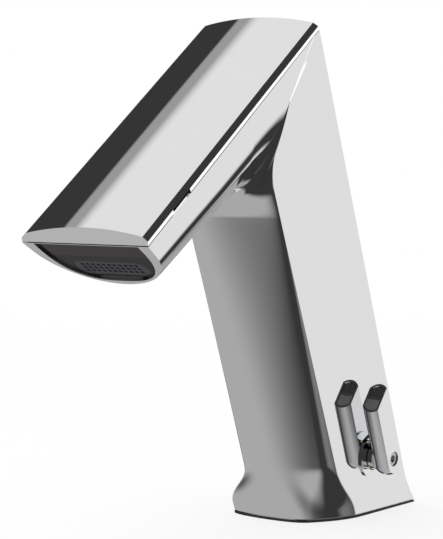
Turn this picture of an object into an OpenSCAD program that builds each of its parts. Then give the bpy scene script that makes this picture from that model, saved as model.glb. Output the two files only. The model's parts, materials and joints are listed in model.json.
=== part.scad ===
// Deck-mounted sensor tap: a leaning stem and a sloping spout in one casting,
// a removable crown over the spout, a side mixing lever, and the valve,
// sensor and waterways inside. Millimetres, +Z up, spout towards -Y.
// The origin is the mouth of the fixing stud's bush, in the deck plane.

/* [Body] */
// Width across the back edges of the body
body_w = 49; // [48.5:0.5:51]
// Lean of the stem's back from upright, in degrees
stem_lean = 22.9; // [22:0.1:24]
// Slope of the spout, in degrees
spout_slope = 32.7; // [31.5:0.1:34]
// Draft of the flat sides, in degrees
side_draft = 6.8; // [6:0.1:7.5]
// Height of the top back corner over the deck
crest_h = 183.7; // [180:0.1:188]
// Length of the spout along its slope, from the top back corner to the nose
spout_len = 132.5; // [128:0.5:138]
// How far behind the stud the straight back line meets the deck
heel_back = 30.9; // [30:0.1:32]
// Depth of the flat side at the deck, its straight edges carried down
side_depth = 44.3; // [43:0.1:46]
// Lean of the flat side's front edge from upright, in degrees
edge_lean = 24; // [23.5:0.1:24.5]
// How far the rounded front stands out from the flat sides
hull_bulge = 13; // [12:0.1:14]
// Lean of the rounded front's foremost line from upright, in degrees
keel_lean = 19.1; // [18.5:0.1:20]
// How far the back is arched
back_arch = 0.8; // [0.6:0.1:1.4]
// Fall of the nose's end face from level, in degrees
nose_fall = 31; // [29:0.5:33]

/* [Foot] */
// Height over which the rounded front flares into the foot
foot_h = 21.9; // [20:0.1:23]
// How far the flat side's front edge runs back at the foot
edge_recede = 9; // [7:0.1:10]
// How far the toe flares forwards
toe_flare = 1; // [0:0.1:2]
// How far the heel flares backwards
heel_flare = 4; // [3:0.1:5]
// How far the foot's skirt swells past the flat side
skirt_swell = 11; // [9:0.1:12]

/* [Spout] */
// Depth of the flat side at the nose
spout_side = 8.5; // [8:0.1:9.5]
// Growth of that depth towards the back, in degrees
side_splay = 2.7; // [2.3:0.1:3]
// Depth of the spout's rounded underside at the nose
keel_depth = 25.3; // [25:0.1:27]
// Growth of that depth towards the back, in degrees
keel_splay = 4.6; // [4.2:0.1:5]
// Distance from the top back corner to the crotch, along the spout
crotch_back = 28.3; // [27:0.1:30]
// Radius of the throat under the spout
throat_r = 14; // [12:0.5:16]

/* [Crown] */
// Depth of the crown's seam under the top edge line
seam_drop = 1.8; // [1.6:0.1:2.2]
// Rise of the crown's arched top
crown_arch = 2.2; // [1.8:0.1:3]
// Height of the crown's upright side strip
strip_h = 1.5; // [1.2:0.1:1.7]
// Width of the crown's bevelled shoulder
shoulder_w = 1.9; // [1.5:0.1:2.2]
// Height of the crown's bevelled shoulder
shoulder_h = 1.4; // [1.2:0.1:1.7]
// Lean of the crown's front lip back from square, in degrees
lip_lean = 24; // [20:1:28]
// Wall of the crown
crown_wall = 2; // [1.6:0.1:2.4]
// Length of the pry notch in the side strip
notch_len = 12; // [10:0.5:14]

/* [Mixer] */
// Height of the mixer's axis up the stem's back line
mixer_up = 32.3; // [31.5:0.1:33]
// Distance of the mixer's axis from the back edge
mixer_in = 18.1; // [17.5:0.1:19]
// Radius of the lever's round bar
lever_r = 5.2; // [5:0.1:5.4]
// Length of the lever from its axis to its tip
lever_len = 31; // [29:0.5:33]
// Gap between the lever and the flat side
lever_gap = 2.6; // [2.4:0.1:3]
// Distance of the lever's outer flat from the flat side
lever_out = 9.8; // [9.6:0.1:10]
// Slant of the lever's cut tip from square, in degrees
tip_slant = 41; // [38:1:44]
// Outer radius of the mixing cartridge
cartridge_r = 8; // [7.8:0.1:8.2]
// Depth of the cartridge's pocket
cartridge_deep = 26; // [25.5:0.1:26.5]

/* [Connections] */
// Wall radius of the stud bush's thread
stud_r = 3.4; // [3.3:0.05:3.6]
// Length of the stud bush
stud_len = 10; // [9:0.1:10.5]
// Wall radius of the inlets' thread
inlet_r = 3.5; // [3.3:0.05:3.6]
// Distance of the inlets from the middle plane
inlet_x = 10.5; // [10.3:0.1:10.8]
// Half the distance between the inlets
inlet_half = 5.6; // [5.5:0.05:5.8]
// Wall radius of the cable gland
cable_r = 2; // [1.5:0.1:2.2]

/* [Hidden] */

over = 1;
fine = 96;
finest = 960;
small = 48;
gap = 0.3;
fit = 0.05;

chrome = "#d8d8d8";
dark = "#2f2f2f";
brass = "#c9a04a";
white = "#ececec";
steel = "#b4b4b4";
black = "#1c1c1c";
green = "#2c6a43";

// Guide lines of the body in its middle plane, as [y, z]
gasket_t = 0.7;
plate_t = 0.6;
base_t = gasket_t + plate_t;
foot_lip = 4.3;
heel_flare_h = 14.3;
toe_flare_h = 23.3;
arc_start = 10;
draft_t = tan(side_draft);

function lerp(a, b, s) = a + (b - a) * s;
function unit(v) = v / norm(v);
function dir(a) = [cos(a), sin(a)];
function cut_back(z, h) = pow(max(0, 1 - z / h), 2);
function foot_share(z) = z > foot_h ? 0 : z < foot_lip ? 1
    : (1 + cos(180 * (z - foot_lip) / (foot_h - foot_lip))) / 2;
function back_line(z) = heel_back - z * tan(stem_lean);
function edge_line(z) = heel_back - side_depth - z * tan(edge_lean);
function back_at(z) = [back_line(z) + heel_flare * cut_back(z, heel_flare_h), z];
function edge_at(z) = [edge_line(z) + edge_recede * foot_share(z), z];
function keel_line(z) = edge_line(foot_h) - (z - foot_h) * tan(keel_lean) - hull_bulge;
function keel_at(z) = [keel_line(z) - toe_flare * cut_back(z, toe_flare_h), z];

crest = [back_line(crest_h), crest_h];
nose = crest - spout_len * dir(spout_slope);
function spout_pt(u, v) = nose + u * dir(spout_slope) - v * dir(spout_slope + 90);
function side_v(u) = spout_side + u * tan(side_splay);
function keel_v(u) = keel_depth + u * tan(keel_splay);

// The crotch, where the flat side's two inner edges meet
crotch_u = spout_len - crotch_back;
crotch = spout_pt(crotch_u, side_v(crotch_u));

// The flat side's front edge turns towards the crotch at the throat's knee
knee_drop = 52.2;
knee_z = crest_h - knee_drop;
knee = [edge_line(knee_z), knee_z];
knee_cut = 7;
knee_lo = knee - knee_cut * dir(90 + edge_lean);
knee_hi = knee + knee_cut * unit(crotch - knee);

// The throat's round: tangent to the stem's keel and to the spout's keel
stem_dir = 90 + keel_lean;
keel_dir = spout_slope - keel_splay;
stem_keel = keel_at(foot_h * 2);
spout_keel = spout_pt(0, keel_v(0));
function cross2(a, b) = a[0] * b[1] - a[1] * b[0];
throat_step = cross2(spout_keel - stem_keel, dir(keel_dir)) / cross2(dir(stem_dir), dir(keel_dir));
throat_corner = stem_keel + throat_step * dir(stem_dir);
throat_half = (180 - stem_dir + keel_dir) / 2;
throat_mid = (stem_dir + 180 + keel_dir + 180) / 2;
throat_c = throat_corner + throat_r / sin(throat_half) * dir(throat_mid);
throat_a0 = stem_dir - 90;
throat_a1 = keel_dir + 90;
throat_am = (throat_a0 + throat_a1) / 2;
function throat_at(a) = throat_c + throat_r * dir(a);
throat_z = throat_at(throat_a0)[1];
throat_end = throat_at(throat_a1) - nose;
throat_u = throat_end * dir(spout_slope);

// Half width of the flat sides at a depth under the back or the top edge line
function half_at(depth) = body_w / 2 - depth * draft_t;
function stem_half(p) = half_at((back_line(p[1]) - p[0]) * cos(stem_lean));
function spout_half(p) = half_at((p - nose) * -dir(spout_slope + 90));

// One ring of the skin: arched back, flat sides, rounded front with a swell
arch_n = 6;
hull_n = 22;
function ring(o, xo, c, xc, k, rise, swell) =
    let (
        out = unit(o - c),
        b = 1 / (1 - sin(arc_start)),
        arch = [for (i = [0:arch_n])
            let (s = 1 - 2 * i / arch_n, q = o + rise * (1 - s * s) * out)
            [-s * xo, q[0], q[1]]],
        front = [for (i = [0:hull_n])
            let (
                a = arc_start + (180 - 2 * arc_start) * i / hull_n,
                q = c + (k - c) * (sin(a) - sin(arc_start)) * b,
                side = cos(a) / cos(arc_start)
            )
            [xc * side + swell * (sin(2 * a) - sin(2 * arc_start) * side), q[0], q[1]]]
    )
    concat(arch, front);

function stem_ring(z) =
    let (o = back_at(z), c = edge_at(z))
    ring(o, stem_half(o), c, stem_half(c), keel_at(z), back_arch, skirt_swell * pow(foot_share(z), 2));

// Along the knee and up to the crotch, then down the spout's flat edge
knee_share = 0.25;
bend_share = 0.65;
function bezier(a, b, c, s) = lerp(lerp(a, b, s), lerp(b, c, s), s);
function inner_at(s) = let (c0 = edge_at(throat_z))
    s < knee_share ? lerp(c0, knee_lo, s / knee_share)
    : s < bend_share ? bezier(knee_lo, knee, knee_hi, (s - knee_share) / (bend_share - knee_share))
    : lerp(knee_hi, crotch, (s - bend_share) / (1 - bend_share));
crotch_half = (stem_half(crotch) + spout_half(crotch)) / 2;
function rise_ring(s) =
    let (o = lerp(back_at(throat_z), crest, s), c = inner_at(s))
    ring(o, body_w / 2, c, lerp(stem_half(c), crotch_half, max(0, (s - bend_share) / (1 - bend_share))),
        throat_at(lerp(throat_a0, throat_am, s)), back_arch, 0);
fall_over = 6;
fall_u = throat_u + fall_over;
function fall_ring(s) =
    let (
        o = lerp(crest, spout_pt(fall_u, 0), s),
        c = lerp(crotch, spout_pt(fall_u, side_v(fall_u)), s)
    )
    ring(o, body_w / 2, c, lerp(crotch_half, spout_half(c), s),
        throat_at(lerp(throat_am, throat_a1, s)), back_arch, 0);
function spout_ring(u) =
    let (c = spout_pt(u, side_v(u)))
    ring(spout_pt(u, 0), body_w / 2, c, spout_half(c), spout_pt(u, keel_v(u)), back_arch, 0);

foot_rings = 9;
rise_rings = 9;
fall_rings = 6;
nose_over = 10;
foot_over = 2;
foot_top = foot_h + foot_over;
skin_rings = concat(
    [for (i = [0:foot_rings]) stem_ring(lerp(base_t, foot_top, i / foot_rings))],
    [stem_ring((foot_top + throat_z) / 2)],
    [for (i = [0:rise_rings]) rise_ring(i / rise_rings)],
    [for (i = [1:fall_rings]) fall_ring(i / fall_rings)],
    [spout_ring(fall_u / 2), spout_ring(-nose_over)]
);

module loft(rings) {
    m = len(rings[0]);
    n = len(rings);
    polyhedron(
        points = [for (r = rings) each r],
        faces = concat(
            [[for (j = [m - 1:-1:0]) j]],
            [for (i = [0:n - 2], j = [0:m - 1])
                let (a = i * m + j, b = i * m + (j + 1) % m)
                each [[a, b, a + m], [b, b + m, a + m]]],
            [[for (j = [0:m - 1]) (n - 1) * m + j]]
        )
    );
}

// Frames that carry the pieces
end_o = spout_pt(0, seam_drop);
mixer_x = half_at(mixer_in);
module spout_frame() {
    translate([0, nose[0], nose[1]]) rotate([spout_slope, 0, 0]) children();
}
module stem_frame() {
    translate([0, heel_back, 0]) rotate([stem_lean, 0, 0]) children();
}
module end_frame() {
    translate([0, end_o[0], end_o[1]]) rotate([-nose_fall, 0, 0]) children();
}
module mixer_frame() {
    stem_frame() translate([mixer_x, -mixer_in, mixer_up])
        rotate([0, 0, -side_draft]) rotate([90, 0, 90]) children();
}
function stem_pt(p) = [
    p[0],
    heel_back + p[1] * cos(stem_lean) - p[2] * sin(stem_lean),
    p[1] * sin(stem_lean) + p[2] * cos(stem_lean)
];
function mixer_pt(z, x) = stem_pt([
    mixer_x + z * cos(side_draft) + x * sin(side_draft),
    -mixer_in - z * sin(side_draft) + x * cos(side_draft),
    mixer_up
]);

// Plain shapes
module box(lo, hi) {
    translate(lo) cube(hi - lo);
}
module rod(r, z0, z1) {
    translate([0, 0, z0]) cylinder(r = r, h = z1 - z0, $fn = fine);
}
module pipe(r, bore, z0, z1) {
    difference() {
        rod(r, z0, z1);
        rod(bore, z0 - over, z1 + over);
    }
}
module drill(a, b, r) {
    d = b - a;
    translate(a) rotate([0, acos(d[2] / norm(d)), atan2(d[1], d[0])]) rod(r, 0, norm(d));
}
module slab(half_len, r, z0, z1) {
    for (s = [-1, 1]) translate([s * (half_len - r), 0, 0]) rod(r, z0, z1);
    box([r - half_len, -r, z0], [half_len - r, r, z1]);
}
module ring_seal(r) {
    rotate_extrude($fn = fine) translate([r - seal_w, 0]) circle(r = seal_w, $fn = small);
}
module seal_groove(r) {
    difference() {
        rod(r + over, -seal_w - fit, seal_w + fit);
        rod(r - 2 * seal_w - fit, -over, over);
    }
}
function coil_rings(r, w, z0, z1, turns) = [for (i = [0:turns * coil_steps])
    let (a = 360 * i / coil_steps, z = lerp(z0 + w, z1 - w, i / (turns * coil_steps)))
    [for (j = [0:coil_sides - 1])
        let (b = 360 * j / coil_sides, q = r + w * cos(b))
        [q * cos(a), q * sin(a), z + w * sin(b)]]];
coil_steps = 16;
coil_sides = 6;
seal_w = 0.35;

// Tray under the crown and the hollow of the stem
valve_under = 13.6;
valve_h = 16.5;
valve_top = crest_h / cos(stem_lean) - valve_under;
valve_low = valve_top - valve_h;
tray_half = 17.5;
tray_front = 17;
tray_floor = 17.5;
tray_end = 14.5;
tray_back = spout_len - tray_end;
cavity_half = 15;
cavity_back = 8;
cavity_front = 44;
cavity_low = 50;
cavity_over = 4.5;
cavity_high = valve_top - cavity_over;

// Nose: the face plate's recess, the outlet's slot and the sensor's pocket
face_half = 20;
face_top = 0.4;
face_low = 24.9;
face_bow = 2.8;
face_gap = 0.1;
face_inset = 0.8;
face_deep = 3.6;
face_steps = 36;
slot_half = 14.5;
slot_r = 4.7;
slot_e = 17.9;
slot_deep = 12;
slot_front = 1;
slot_wall = 0.9;
slot_end = 9;
mesh_t = 0.7;
mesh_pitch = 2.1;
mesh_hole = 0.75;
mesh_sides = 16;
mesh_cols = 5;
window_top = 1.6;
window_low = 9.6;
window_t = 1.1;
window_edge = 0.9;
pocket_half = 15.8;
pocket_top = 5;
pocket_low = 10.4;
pocket_deep = 8;
board_t = 1.2;
led_x = 5;
led_e = 7.2;
led_r = 1.5;
wire_r = 1.5;
wire_x = 12;
wire_v = 6;

// Tubes: the riser up the stem and the outlet tube along the spout
riser_in = 37;
riser_r = 3.5;
riser_bore = 2.5;
riser_low = 45;
riser_seat = 5;
riser_top = valve_low + riser_seat;
way_r = 2.2;
pipe_v = 14.2;
pipe_r = 2.8;
pipe_bore = 2;
pipe_front = 16;
pipe_end = 38.5;
pipe_back = spout_len - pipe_end;
seal_in = 2.5;

// Mixer
mix_deep = 14.5;
port_x = 3.2;
port_r = 1.6;
port_floor = 2;
cup_r = 6.2;
disc_r = 5.9;
disc_t = 2.4;
lip_t = 1.6;
shaft_r = 3.4;
shaft_in = 3;
nut_t = 5;
nut_low = 5.6;
slot_w = 1.6;

// Underside of the foot
bush_wall = 1.8;
bush_r = stud_r + bush_wall;
inlet_mid = 1;
inlet_wall = 1.2;
inlet_bush_r = inlet_r + inlet_wall;
inlet_len = 9;
seat_r = 2.2;
seat_t = 2;
check_top = 17.5;
inlet_turn = 22;
gland_wall = 1.6;
gland_r = cable_r + gland_wall;
gland_h = 8;
gland_at = [-6, -13];
cable_top = [-8, -40];
plate_screw_r = 1.5;
plate_head_r = 2.6;
plate_screw_len = 9;
plate_in = 0.6;
screw_places = [[16, 22], [-16, 22], [0, -24]];
inlet_places = [for (s = [-1, 1]) [-inlet_x, inlet_mid + s * inlet_half]];

module face_shape(grow) {
    polygon([for (i = [0:face_steps])
        let (
            a = 180 * i / face_steps,
            w = face_half + grow,
            h = face_low - face_top + grow
        )
        [w * sign(cos(a)) * pow(abs(cos(a)), 2 / face_bow), face_top + h * pow(sin(a), 2 / face_bow)]]);
}
module nose_block(r_add, z0, z1) {
    translate([0, slot_e, 0]) slab(slot_half + r_add, slot_r + r_add, z0, z1);
}
module mixed_way() {
    drill(mixer_pt(-mix_deep, 0), stem_pt([0, -riser_in, riser_low + over]), way_r);
}

module body() {
    color(chrome) difference() {
        loft(skin_rings);
        spout_frame() {
            box([-body_w, -spout_len, -seam_drop], [body_w, 2 * spout_len, spout_len]);
            box([-tray_half, tray_front, -tray_floor], [tray_half, tray_back, over]);
            translate([wire_x, 0, -wire_v]) rotate([-90, 0, 0]) rod(wire_r, pocket_deep, tray_front + over);
            for (y = [tray_front - seal_in, tray_back + seal_out]) seam_groove_bar(y);
            for (s = [-1, 1]) seam_groove_side(s);
        }
        end_frame() {
            box([-body_w, -body_w, -spout_len], [body_w, 2 * body_w, 0]);
            translate([0, 0, -over]) linear_extrude(face_deep + over) face_shape(face_gap);
            nose_block(fit, 0, slot_deep + fit);
            box([-pocket_half, pocket_top, 0], [pocket_half, pocket_low, pocket_deep]);
        }
        stem_frame() {
            box([-cavity_half, -cavity_front, cavity_low], [cavity_half, -cavity_back, cavity_high]);
            translate([0, -riser_in, 0]) rod(riser_r + fit, riser_low, cavity_low + over);
        }
        mixer_frame() rod(cartridge_r, -cartridge_deep, over);
        mixed_way();
        rod(bush_r + fit, 0, stud_len + gap);
        for (i = [0, 1]) {
            translate(inlet_places[i]) {
                rod(inlet_bush_r + fit, 0, check_top);
                rod(way_r, check_top - over, inlet_turn);
            }
            drill(mixer_pt(over - cartridge_deep, (2 * i - 1) * port_x), inlet_end(i), port_r);
        }
        translate(gland_at) rod(gland_r + fit, 0, gland_h);
        drill([gland_at[0], gland_at[1], gland_h - over],
            stem_pt([cable_top[0], cable_top[1], cavity_low + over]), gland_r - over);
        for (p = screw_places) translate(p) rod(plate_screw_r + fit, 0, plate_screw_len);
    }
}
function inlet_end(i) = [inlet_places[i][0], inlet_places[i][1], inlet_turn];

// The crown's seal lies in a groove round the tray's mouth
seal_out = 1.5;
groove_w = 1.2;
groove_h = 0.8;
module seam_groove_bar(y) {
    box([-tray_half - seal_in, y, -seam_drop - groove_h], [tray_half + seal_in, y + groove_w, over]);
}
module seam_groove_side(s) {
    translate([s * (tray_half + seal_in - groove_w / 2), 0, 0])
        box([-groove_w / 2, tray_front - seal_in, -seam_drop - groove_h],
            [groove_w / 2, tray_back + seal_out + groove_w, over]);
}
module crown_gasket() {
    color(black) spout_frame() intersection() {
        union() {
            for (y = [tray_front - seal_in, tray_back + seal_out]) seam_groove_bar(y);
            for (s = [-1, 1]) seam_groove_side(s);
        }
        box([-body_w, 0, -body_w], [body_w, spout_len, -seam_drop]);
    }
}

// Crown: the arched cover over the spout, its lip leaning back in front
seam_half = half_at(seam_drop);
top_half = seam_half - shoulder_w;
strip_z = strip_h - seam_drop;
top_z = strip_z + shoulder_h;
arch_r = (top_half * top_half + crown_arch * crown_arch) / (2 * crown_arch);
back_share = 0.86;
back_rise = back_arch * back_share;
back_r = (body_w * body_w / 4 + back_rise * back_rise) / (2 * back_rise);
rim_t = 1.5;
rim_h = 3;
crown_in = 14.5;
crown_in_front = 24;
crown_land = 20;
crown_in_z = top_z + crown_arch - arch_r + sqrt(arch_r * arch_r - crown_in * crown_in) - crown_wall;
notch_at = 18;
notch_deep = 1.2;
clip_at = 66;
clip_w = 8;
clip_t = 0.8;
clip_low = 5;

module crown() {
    color(chrome) difference() {
        intersection() {
            spout_frame() translate([0, spout_len + body_w, 0]) rotate([90, 0, 0])
                linear_extrude(spout_len + 2 * body_w) polygon([
                    [-seam_half, -seam_drop], [-seam_half, strip_z], [-top_half, top_z],
                    [-top_half, body_w], [top_half, body_w],
                    [top_half, top_z], [seam_half, strip_z], [seam_half, -seam_drop]
                ]);
            spout_frame() translate([0, -body_w, top_z + crown_arch - arch_r]) rotate([-90, 0, 0])
                cylinder(r = arch_r, h = spout_len + 2 * body_w, $fn = finest);
            stem_frame() translate([0, back_rise - back_r, 0]) cylinder(r = back_r, h = 2 * crest_h, $fn = finest);
        }
        spout_frame() {
            translate([0, 0, -seam_drop]) rotate([-lip_lean, 0, 0])
                box([-body_w, -body_w, -body_w], [body_w, 0, body_w]);
            box([-crown_in, crown_in_front, -body_w], [crown_in, spout_len - crown_land, crown_in_z]);
            box([seam_half - notch_deep, notch_at, -seam_drop - over],
                [body_w, notch_at + notch_len, strip_z]);
        }
    }
    color(chrome) spout_frame() difference() {
        box([-tray_half + gap, tray_front + gap, -seam_drop - rim_h],
            [tray_half - gap, tray_back - gap, -seam_drop]);
        box([-tray_half + gap + rim_t, tray_front + gap + rim_t, -seam_drop - rim_h - over],
            [tray_half - gap - rim_t, tray_back - gap - rim_t, -seam_drop + over]);
    }
}
module crown_clips() {
    x = tray_half - gap - rim_t;
    color(steel) spout_frame() for (s = [-1, 1]) {
        translate([s * (x - clip_t / 2), clip_at, 0])
            box([-clip_t / 2, 0, -clip_low], [clip_t / 2, clip_w, -seam_drop - gap]);
    }
}

// Nose parts
module face_insert() {
    color(black) end_frame() difference() {
        translate([0, 0, face_inset]) linear_extrude(face_deep - face_inset) face_shape(0);
        nose_block(fit, 0, face_deep + over);
        window_block(fit, face_inset - over, face_inset + window_t);
        for (s = [-1, 1]) translate([s * led_x, led_e, 0]) rod(led_r + face_gap, 0, face_deep + over);
        under_crown();
    }
}
// What lies over the crown's seam, in the frame of the nose's end face
module under_crown() {
    rotate([nose_fall + spout_slope, 0, 0]) box([-body_w, -spout_len, -face_gap], [body_w, spout_len, body_w]);
}
module window_block(grow, z0, z1) {
    intersection() {
        translate([0, 0, z0]) linear_extrude(z1 - z0) face_shape(grow - window_edge);
        box([-body_w, window_top - grow, z0], [body_w, window_low + grow, z1]);
    }
}
module sensor_window() {
    color(dark) end_frame() window_block(0, face_inset, face_inset + window_t);
}
module led(s) {
    color(black) end_frame() translate([s * led_x, led_e, 0])
        rod(led_r, face_inset + window_t + gap, pocket_deep - board_t);
}
module ir_emitter() {
    led(-1);
}
module ir_receiver() {
    led(1);
}
module sensor_board() {
    color(green) end_frame() box([-pocket_half + gap, pocket_top + gap, pocket_deep - board_t],
        [pocket_half - gap, pocket_low - gap, pocket_deep]);
}
module outlet_housing() {
    color(dark) difference() {
        end_frame() difference() {
            nose_block(0, slot_front, slot_deep);
            nose_block(-slot_wall, 0, slot_end);
            nose_block(-slot_wall / 2, 0, slot_front + mesh_t);
        }
        spout_frame() translate([0, 0, -pipe_v]) rotate([-90, 0, 0]) rod(pipe_r + fit, 0, tray_front * 2);
    }
}
module outlet_mesh() {
    color(steel) end_frame() difference() {
        nose_block(-slot_wall / 2 - fit, slot_front, slot_front + mesh_t);
        for (i = [-mesh_cols:mesh_cols], j = [-1:1])
            translate([mesh_pitch * i, slot_e + mesh_pitch * j, 0])
                cylinder(r = mesh_hole, h = slot_deep, $fn = mesh_sides);
    }
}

// Tray parts
module_top = 5.3;
module_low = 11.2;
module_in = 20;
module_end = 50.5;
module_back = spout_len - module_end;
rail_w = 3;
module control_module() {
    color(dark) spout_frame() {
        box([-tray_half + gap, module_in, -module_low], [tray_half - gap, module_back, -module_top]);
        for (s = [-1, 1]) translate([s * (tray_half - gap - rail_w / 2), 0, 0])
            box([-rail_w / 2, module_in, -tray_floor], [rail_w / 2, module_back, -module_low]);
    }
}
module outlet_tube() {
    color(white) spout_frame() translate([0, 0, -pipe_v]) rotate([-90, 0, 0]) difference() {
        pipe(pipe_r, pipe_bore, pipe_front, pipe_back);
        for (y = [pipe_front + seal_in, pipe_back - seal_in]) translate([0, 0, y]) seal_groove(pipe_r);
    }
}
module riser_tube() {
    color(white) stem_frame() translate([0, -riser_in, 0]) difference() {
        pipe(riser_r, riser_bore, riser_low + fit, riser_top - fit);
        for (z = [riser_low + seal_in, riser_top - seal_in]) translate([0, 0, z]) seal_groove(riser_r);
    }
}
module tube_orings() {
    color(black) {
        spout_frame() translate([0, 0, -pipe_v]) rotate([-90, 0, 0])
            for (y = [pipe_front + seal_in, pipe_back - seal_in]) translate([0, 0, y]) ring_seal(pipe_r);
        stem_frame() translate([0, -riser_in, 0])
            for (z = [riser_low + seal_in, riser_top - seal_in]) translate([0, 0, z]) ring_seal(riser_r);
    }
}

// Pilot valve at the top of the riser, its coil hanging in the stem
valve_in = 23;
valve_front = 42;
valve_back = 13.2;
chamber_h = 4;
chamber_r = 8.4;
nozzle_r = 3.4;
nozzle_drop = 1.2;
turn_in = 11.7;
turn_up = valve_low + turn_in;
feed_in = 2.4;
feed_up = valve_low + feed_in;
feed_r = 1.4;
flange_r = 9.6;
flange_t = 3;
web_t = 1;
pad_r = 4;
pilot_r = 0.6;
coil_r = 8.5;
coil_h = 22;
coil_low = valve_low - coil_h;
coil_floor = 1.5;
plunger_r = 3.2;
spring_len = 5.5;
plunger_low = coil_low + coil_floor + spring_len;
plunger_tip_r = 1.5;
plunger_tip = 1.5;
plunger_gap = 0.1;
spring_r = 2;
spring_w = 0.3;
spring_turns = 4;
coil_top = valve_low - web_t;
turn_end = 23.8;
turn_u = spout_len - turn_end;
module valve_body() {
    color(dark) difference() {
        stem_frame() box([-cavity_half + face_gap, -valve_front, valve_low],
            [cavity_half - face_gap, -valve_back, valve_top]);
        stem_frame() {
            translate([0, -riser_in, 0]) {
                rod(riser_r + fit, valve_low - over, riser_top);
                translate([0, 0, feed_up]) rotate([-90, 0, 0]) rod(feed_r, 0, riser_in - valve_in - nozzle_r);
            }
            translate([0, -valve_in, 0]) {
                pipe(chamber_r, nozzle_r, valve_low, valve_low + chamber_h);
                rod(chamber_r, valve_low - over, valve_low + nozzle_drop);
                rod(way_r, valve_low, turn_up);
            }
        }
        spout_frame() translate([0, 0, -pipe_v]) rotate([-90, 0, 0]) {
            rod(pipe_r + fit, 0, pipe_back);
            rod(way_r, pipe_back - over, turn_u);
        }
    }
}
module valve_diaphragm() {
    color(black) stem_frame() translate([0, -valve_in, 0]) difference() {
        union() {
            rod(flange_r, coil_top, valve_low);
            rod(pad_r, valve_low - fit, valve_low + nozzle_drop - fit);
        }
        rod(pilot_r, 0, valve_top);
    }
}
module valve_coil() {
    color(brass) stem_frame() translate([0, -valve_in, 0]) difference() {
        union() {
            rod(flange_r, coil_top - flange_t, coil_top);
            rod(coil_r, coil_low, coil_top);
        }
        rod(plunger_r + plunger_gap, coil_low + coil_floor, valve_top);
    }
}
module valve_plunger() {
    color(steel) stem_frame() translate([0, -valve_in, 0]) {
        rod(plunger_r, plunger_low, coil_top - plunger_tip);
        rod(plunger_tip_r, coil_top - plunger_tip - fit, coil_top - fit);
    }
}
module valve_spring() {
    color(steel) stem_frame() translate([0, -valve_in, 0])
        loft(coil_rings(spring_r, spring_w, coil_low + coil_floor, plunger_low, spring_turns));
}

// Battery in the stem
battery_half = 13;
battery_front = 31;
battery_low = 62;
battery_top = 98;
shelf_t = 1.5;
module battery_pack() {
    color(black) stem_frame() box([-battery_half, -battery_front, battery_low],
        [battery_half, -cavity_back - shelf_t, battery_top]);
}
module battery_bracket() {
    color(steel) stem_frame() difference() {
        box([-battery_half, -battery_front, cavity_low],
            [battery_half, -cavity_back, battery_top + shelf_t]);
        box([-body_w, -body_w, battery_low], [body_w, -cavity_back - shelf_t, battery_top]);
        box([-body_w, -body_w, 0], [body_w, -cavity_back - shelf_t, battery_low - shelf_t]);
    }
}

// Mixing cartridge, from the bottom of its pocket outwards
disc_low = port_floor - cartridge_deep;
module ports(z0, z1) {
    for (s = [-1, 1]) translate([s * port_x, 0, 0]) rod(port_r, z0, z1);
}
module cartridge_body() {
    color(white) difference() {
        mixer_frame() difference() {
            rod(cartridge_r - fit, -cartridge_deep, -nut_low);
            rod(cup_r, disc_low, over);
            ports(-cartridge_deep - over, 0);
        }
        mixed_way();
    }
}
module fixed_disc() {
    color(white) mixer_frame() difference() {
        rod(disc_r, disc_low, disc_low + disc_t);
        ports(-cartridge_deep, 0);
    }
}
module turning_disc() {
    color(white) mixer_frame() difference() {
        rod(disc_r, disc_low + disc_t + fit, disc_low + 2 * disc_t);
        slab(port_x + port_r, port_r, -cartridge_deep, 0);
    }
}
module spindle() {
    color(brass) mixer_frame() difference() {
        union() {
            rod(disc_r, disc_low + 2 * disc_t, disc_low + 2 * disc_t + lip_t);
            rod(shaft_r, disc_low + 2 * disc_t, lever_gap + shaft_in);
        }
        ports(-cartridge_deep, disc_low + 2 * disc_t + lip_t + over);
        rod(screw_r + fit, -screw_in, body_w);
    }
}
module cartridge_nut() {
    color(brass) mixer_frame() difference() {
        pipe(cartridge_r - fit, shaft_r + gap, gap - nut_low, nut_t - nut_low);
        for (s = [-1, 1]) translate([s * cartridge_r, 0, 0])
            box([-slot_w, -slot_w / 2, -lip_t - fit], [slot_w, slot_w / 2, over]);
    }
}

// Lever
screw_r = 1.3;
screw_in = 6;
screw_head_r = 2.8;
screw_head_t = 2.2;
screw_hex_r = 1.5;
screw_hex_deep = 1.4;
screw_top_in = 0.5;
collar_r = 8.6;
collar_t = 0.8;
neck_r = 5.2;
neck_gap = 0.3;
axis_up = 4;
axis_z = lever_gap + axis_up;
inset_edge = 0.9;
inset_deep = 0.8;
bar_half = 0.5;
tip_lean = 12;
module mixer_collar() {
    color(chrome) mixer_frame() pipe(collar_r, neck_r + neck_gap, 0, collar_t);
}
module lever_bar(cut) {
    intersection() {
        translate([0, 0, axis_z]) rotate([-90, 0, 0]) rod(lever_r - cut, 0, 2 * lever_len);
        box([-body_w, 0, lever_gap + cut], [body_w, body_w, lever_out - cut]);
    }
}
module tip_frame() {
    translate([lever_r, lever_len, axis_z]) rotate([0, 0, tip_slant]) rotate([tip_lean - 90, 0, 0]) children();
}
module mixer_lever() {
    color(chrome) mixer_frame() difference() {
        union() {
            lever_bar(0);
            intersection() {
                translate([0, 0, axis_z]) sphere(r = lever_r, $fn = fine);
                box([-body_w, -body_w, lever_gap], [body_w, body_w, lever_out]);
            }
            rod(neck_r, collar_t + neck_gap, lever_gap + over);
        }
        tip_frame() box([-body_w, -body_w, 0], [body_w, body_w, body_w]);
        for (s = [-1, 1]) inset(s, 0, over);
        rod(shaft_r + fit, 0, lever_gap + shaft_in + fit);
        rod(screw_r + fit, 0, body_w);
        rod(screw_head_r + fit, lever_out - screw_top_in - screw_head_t, body_w);
    }
}
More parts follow.
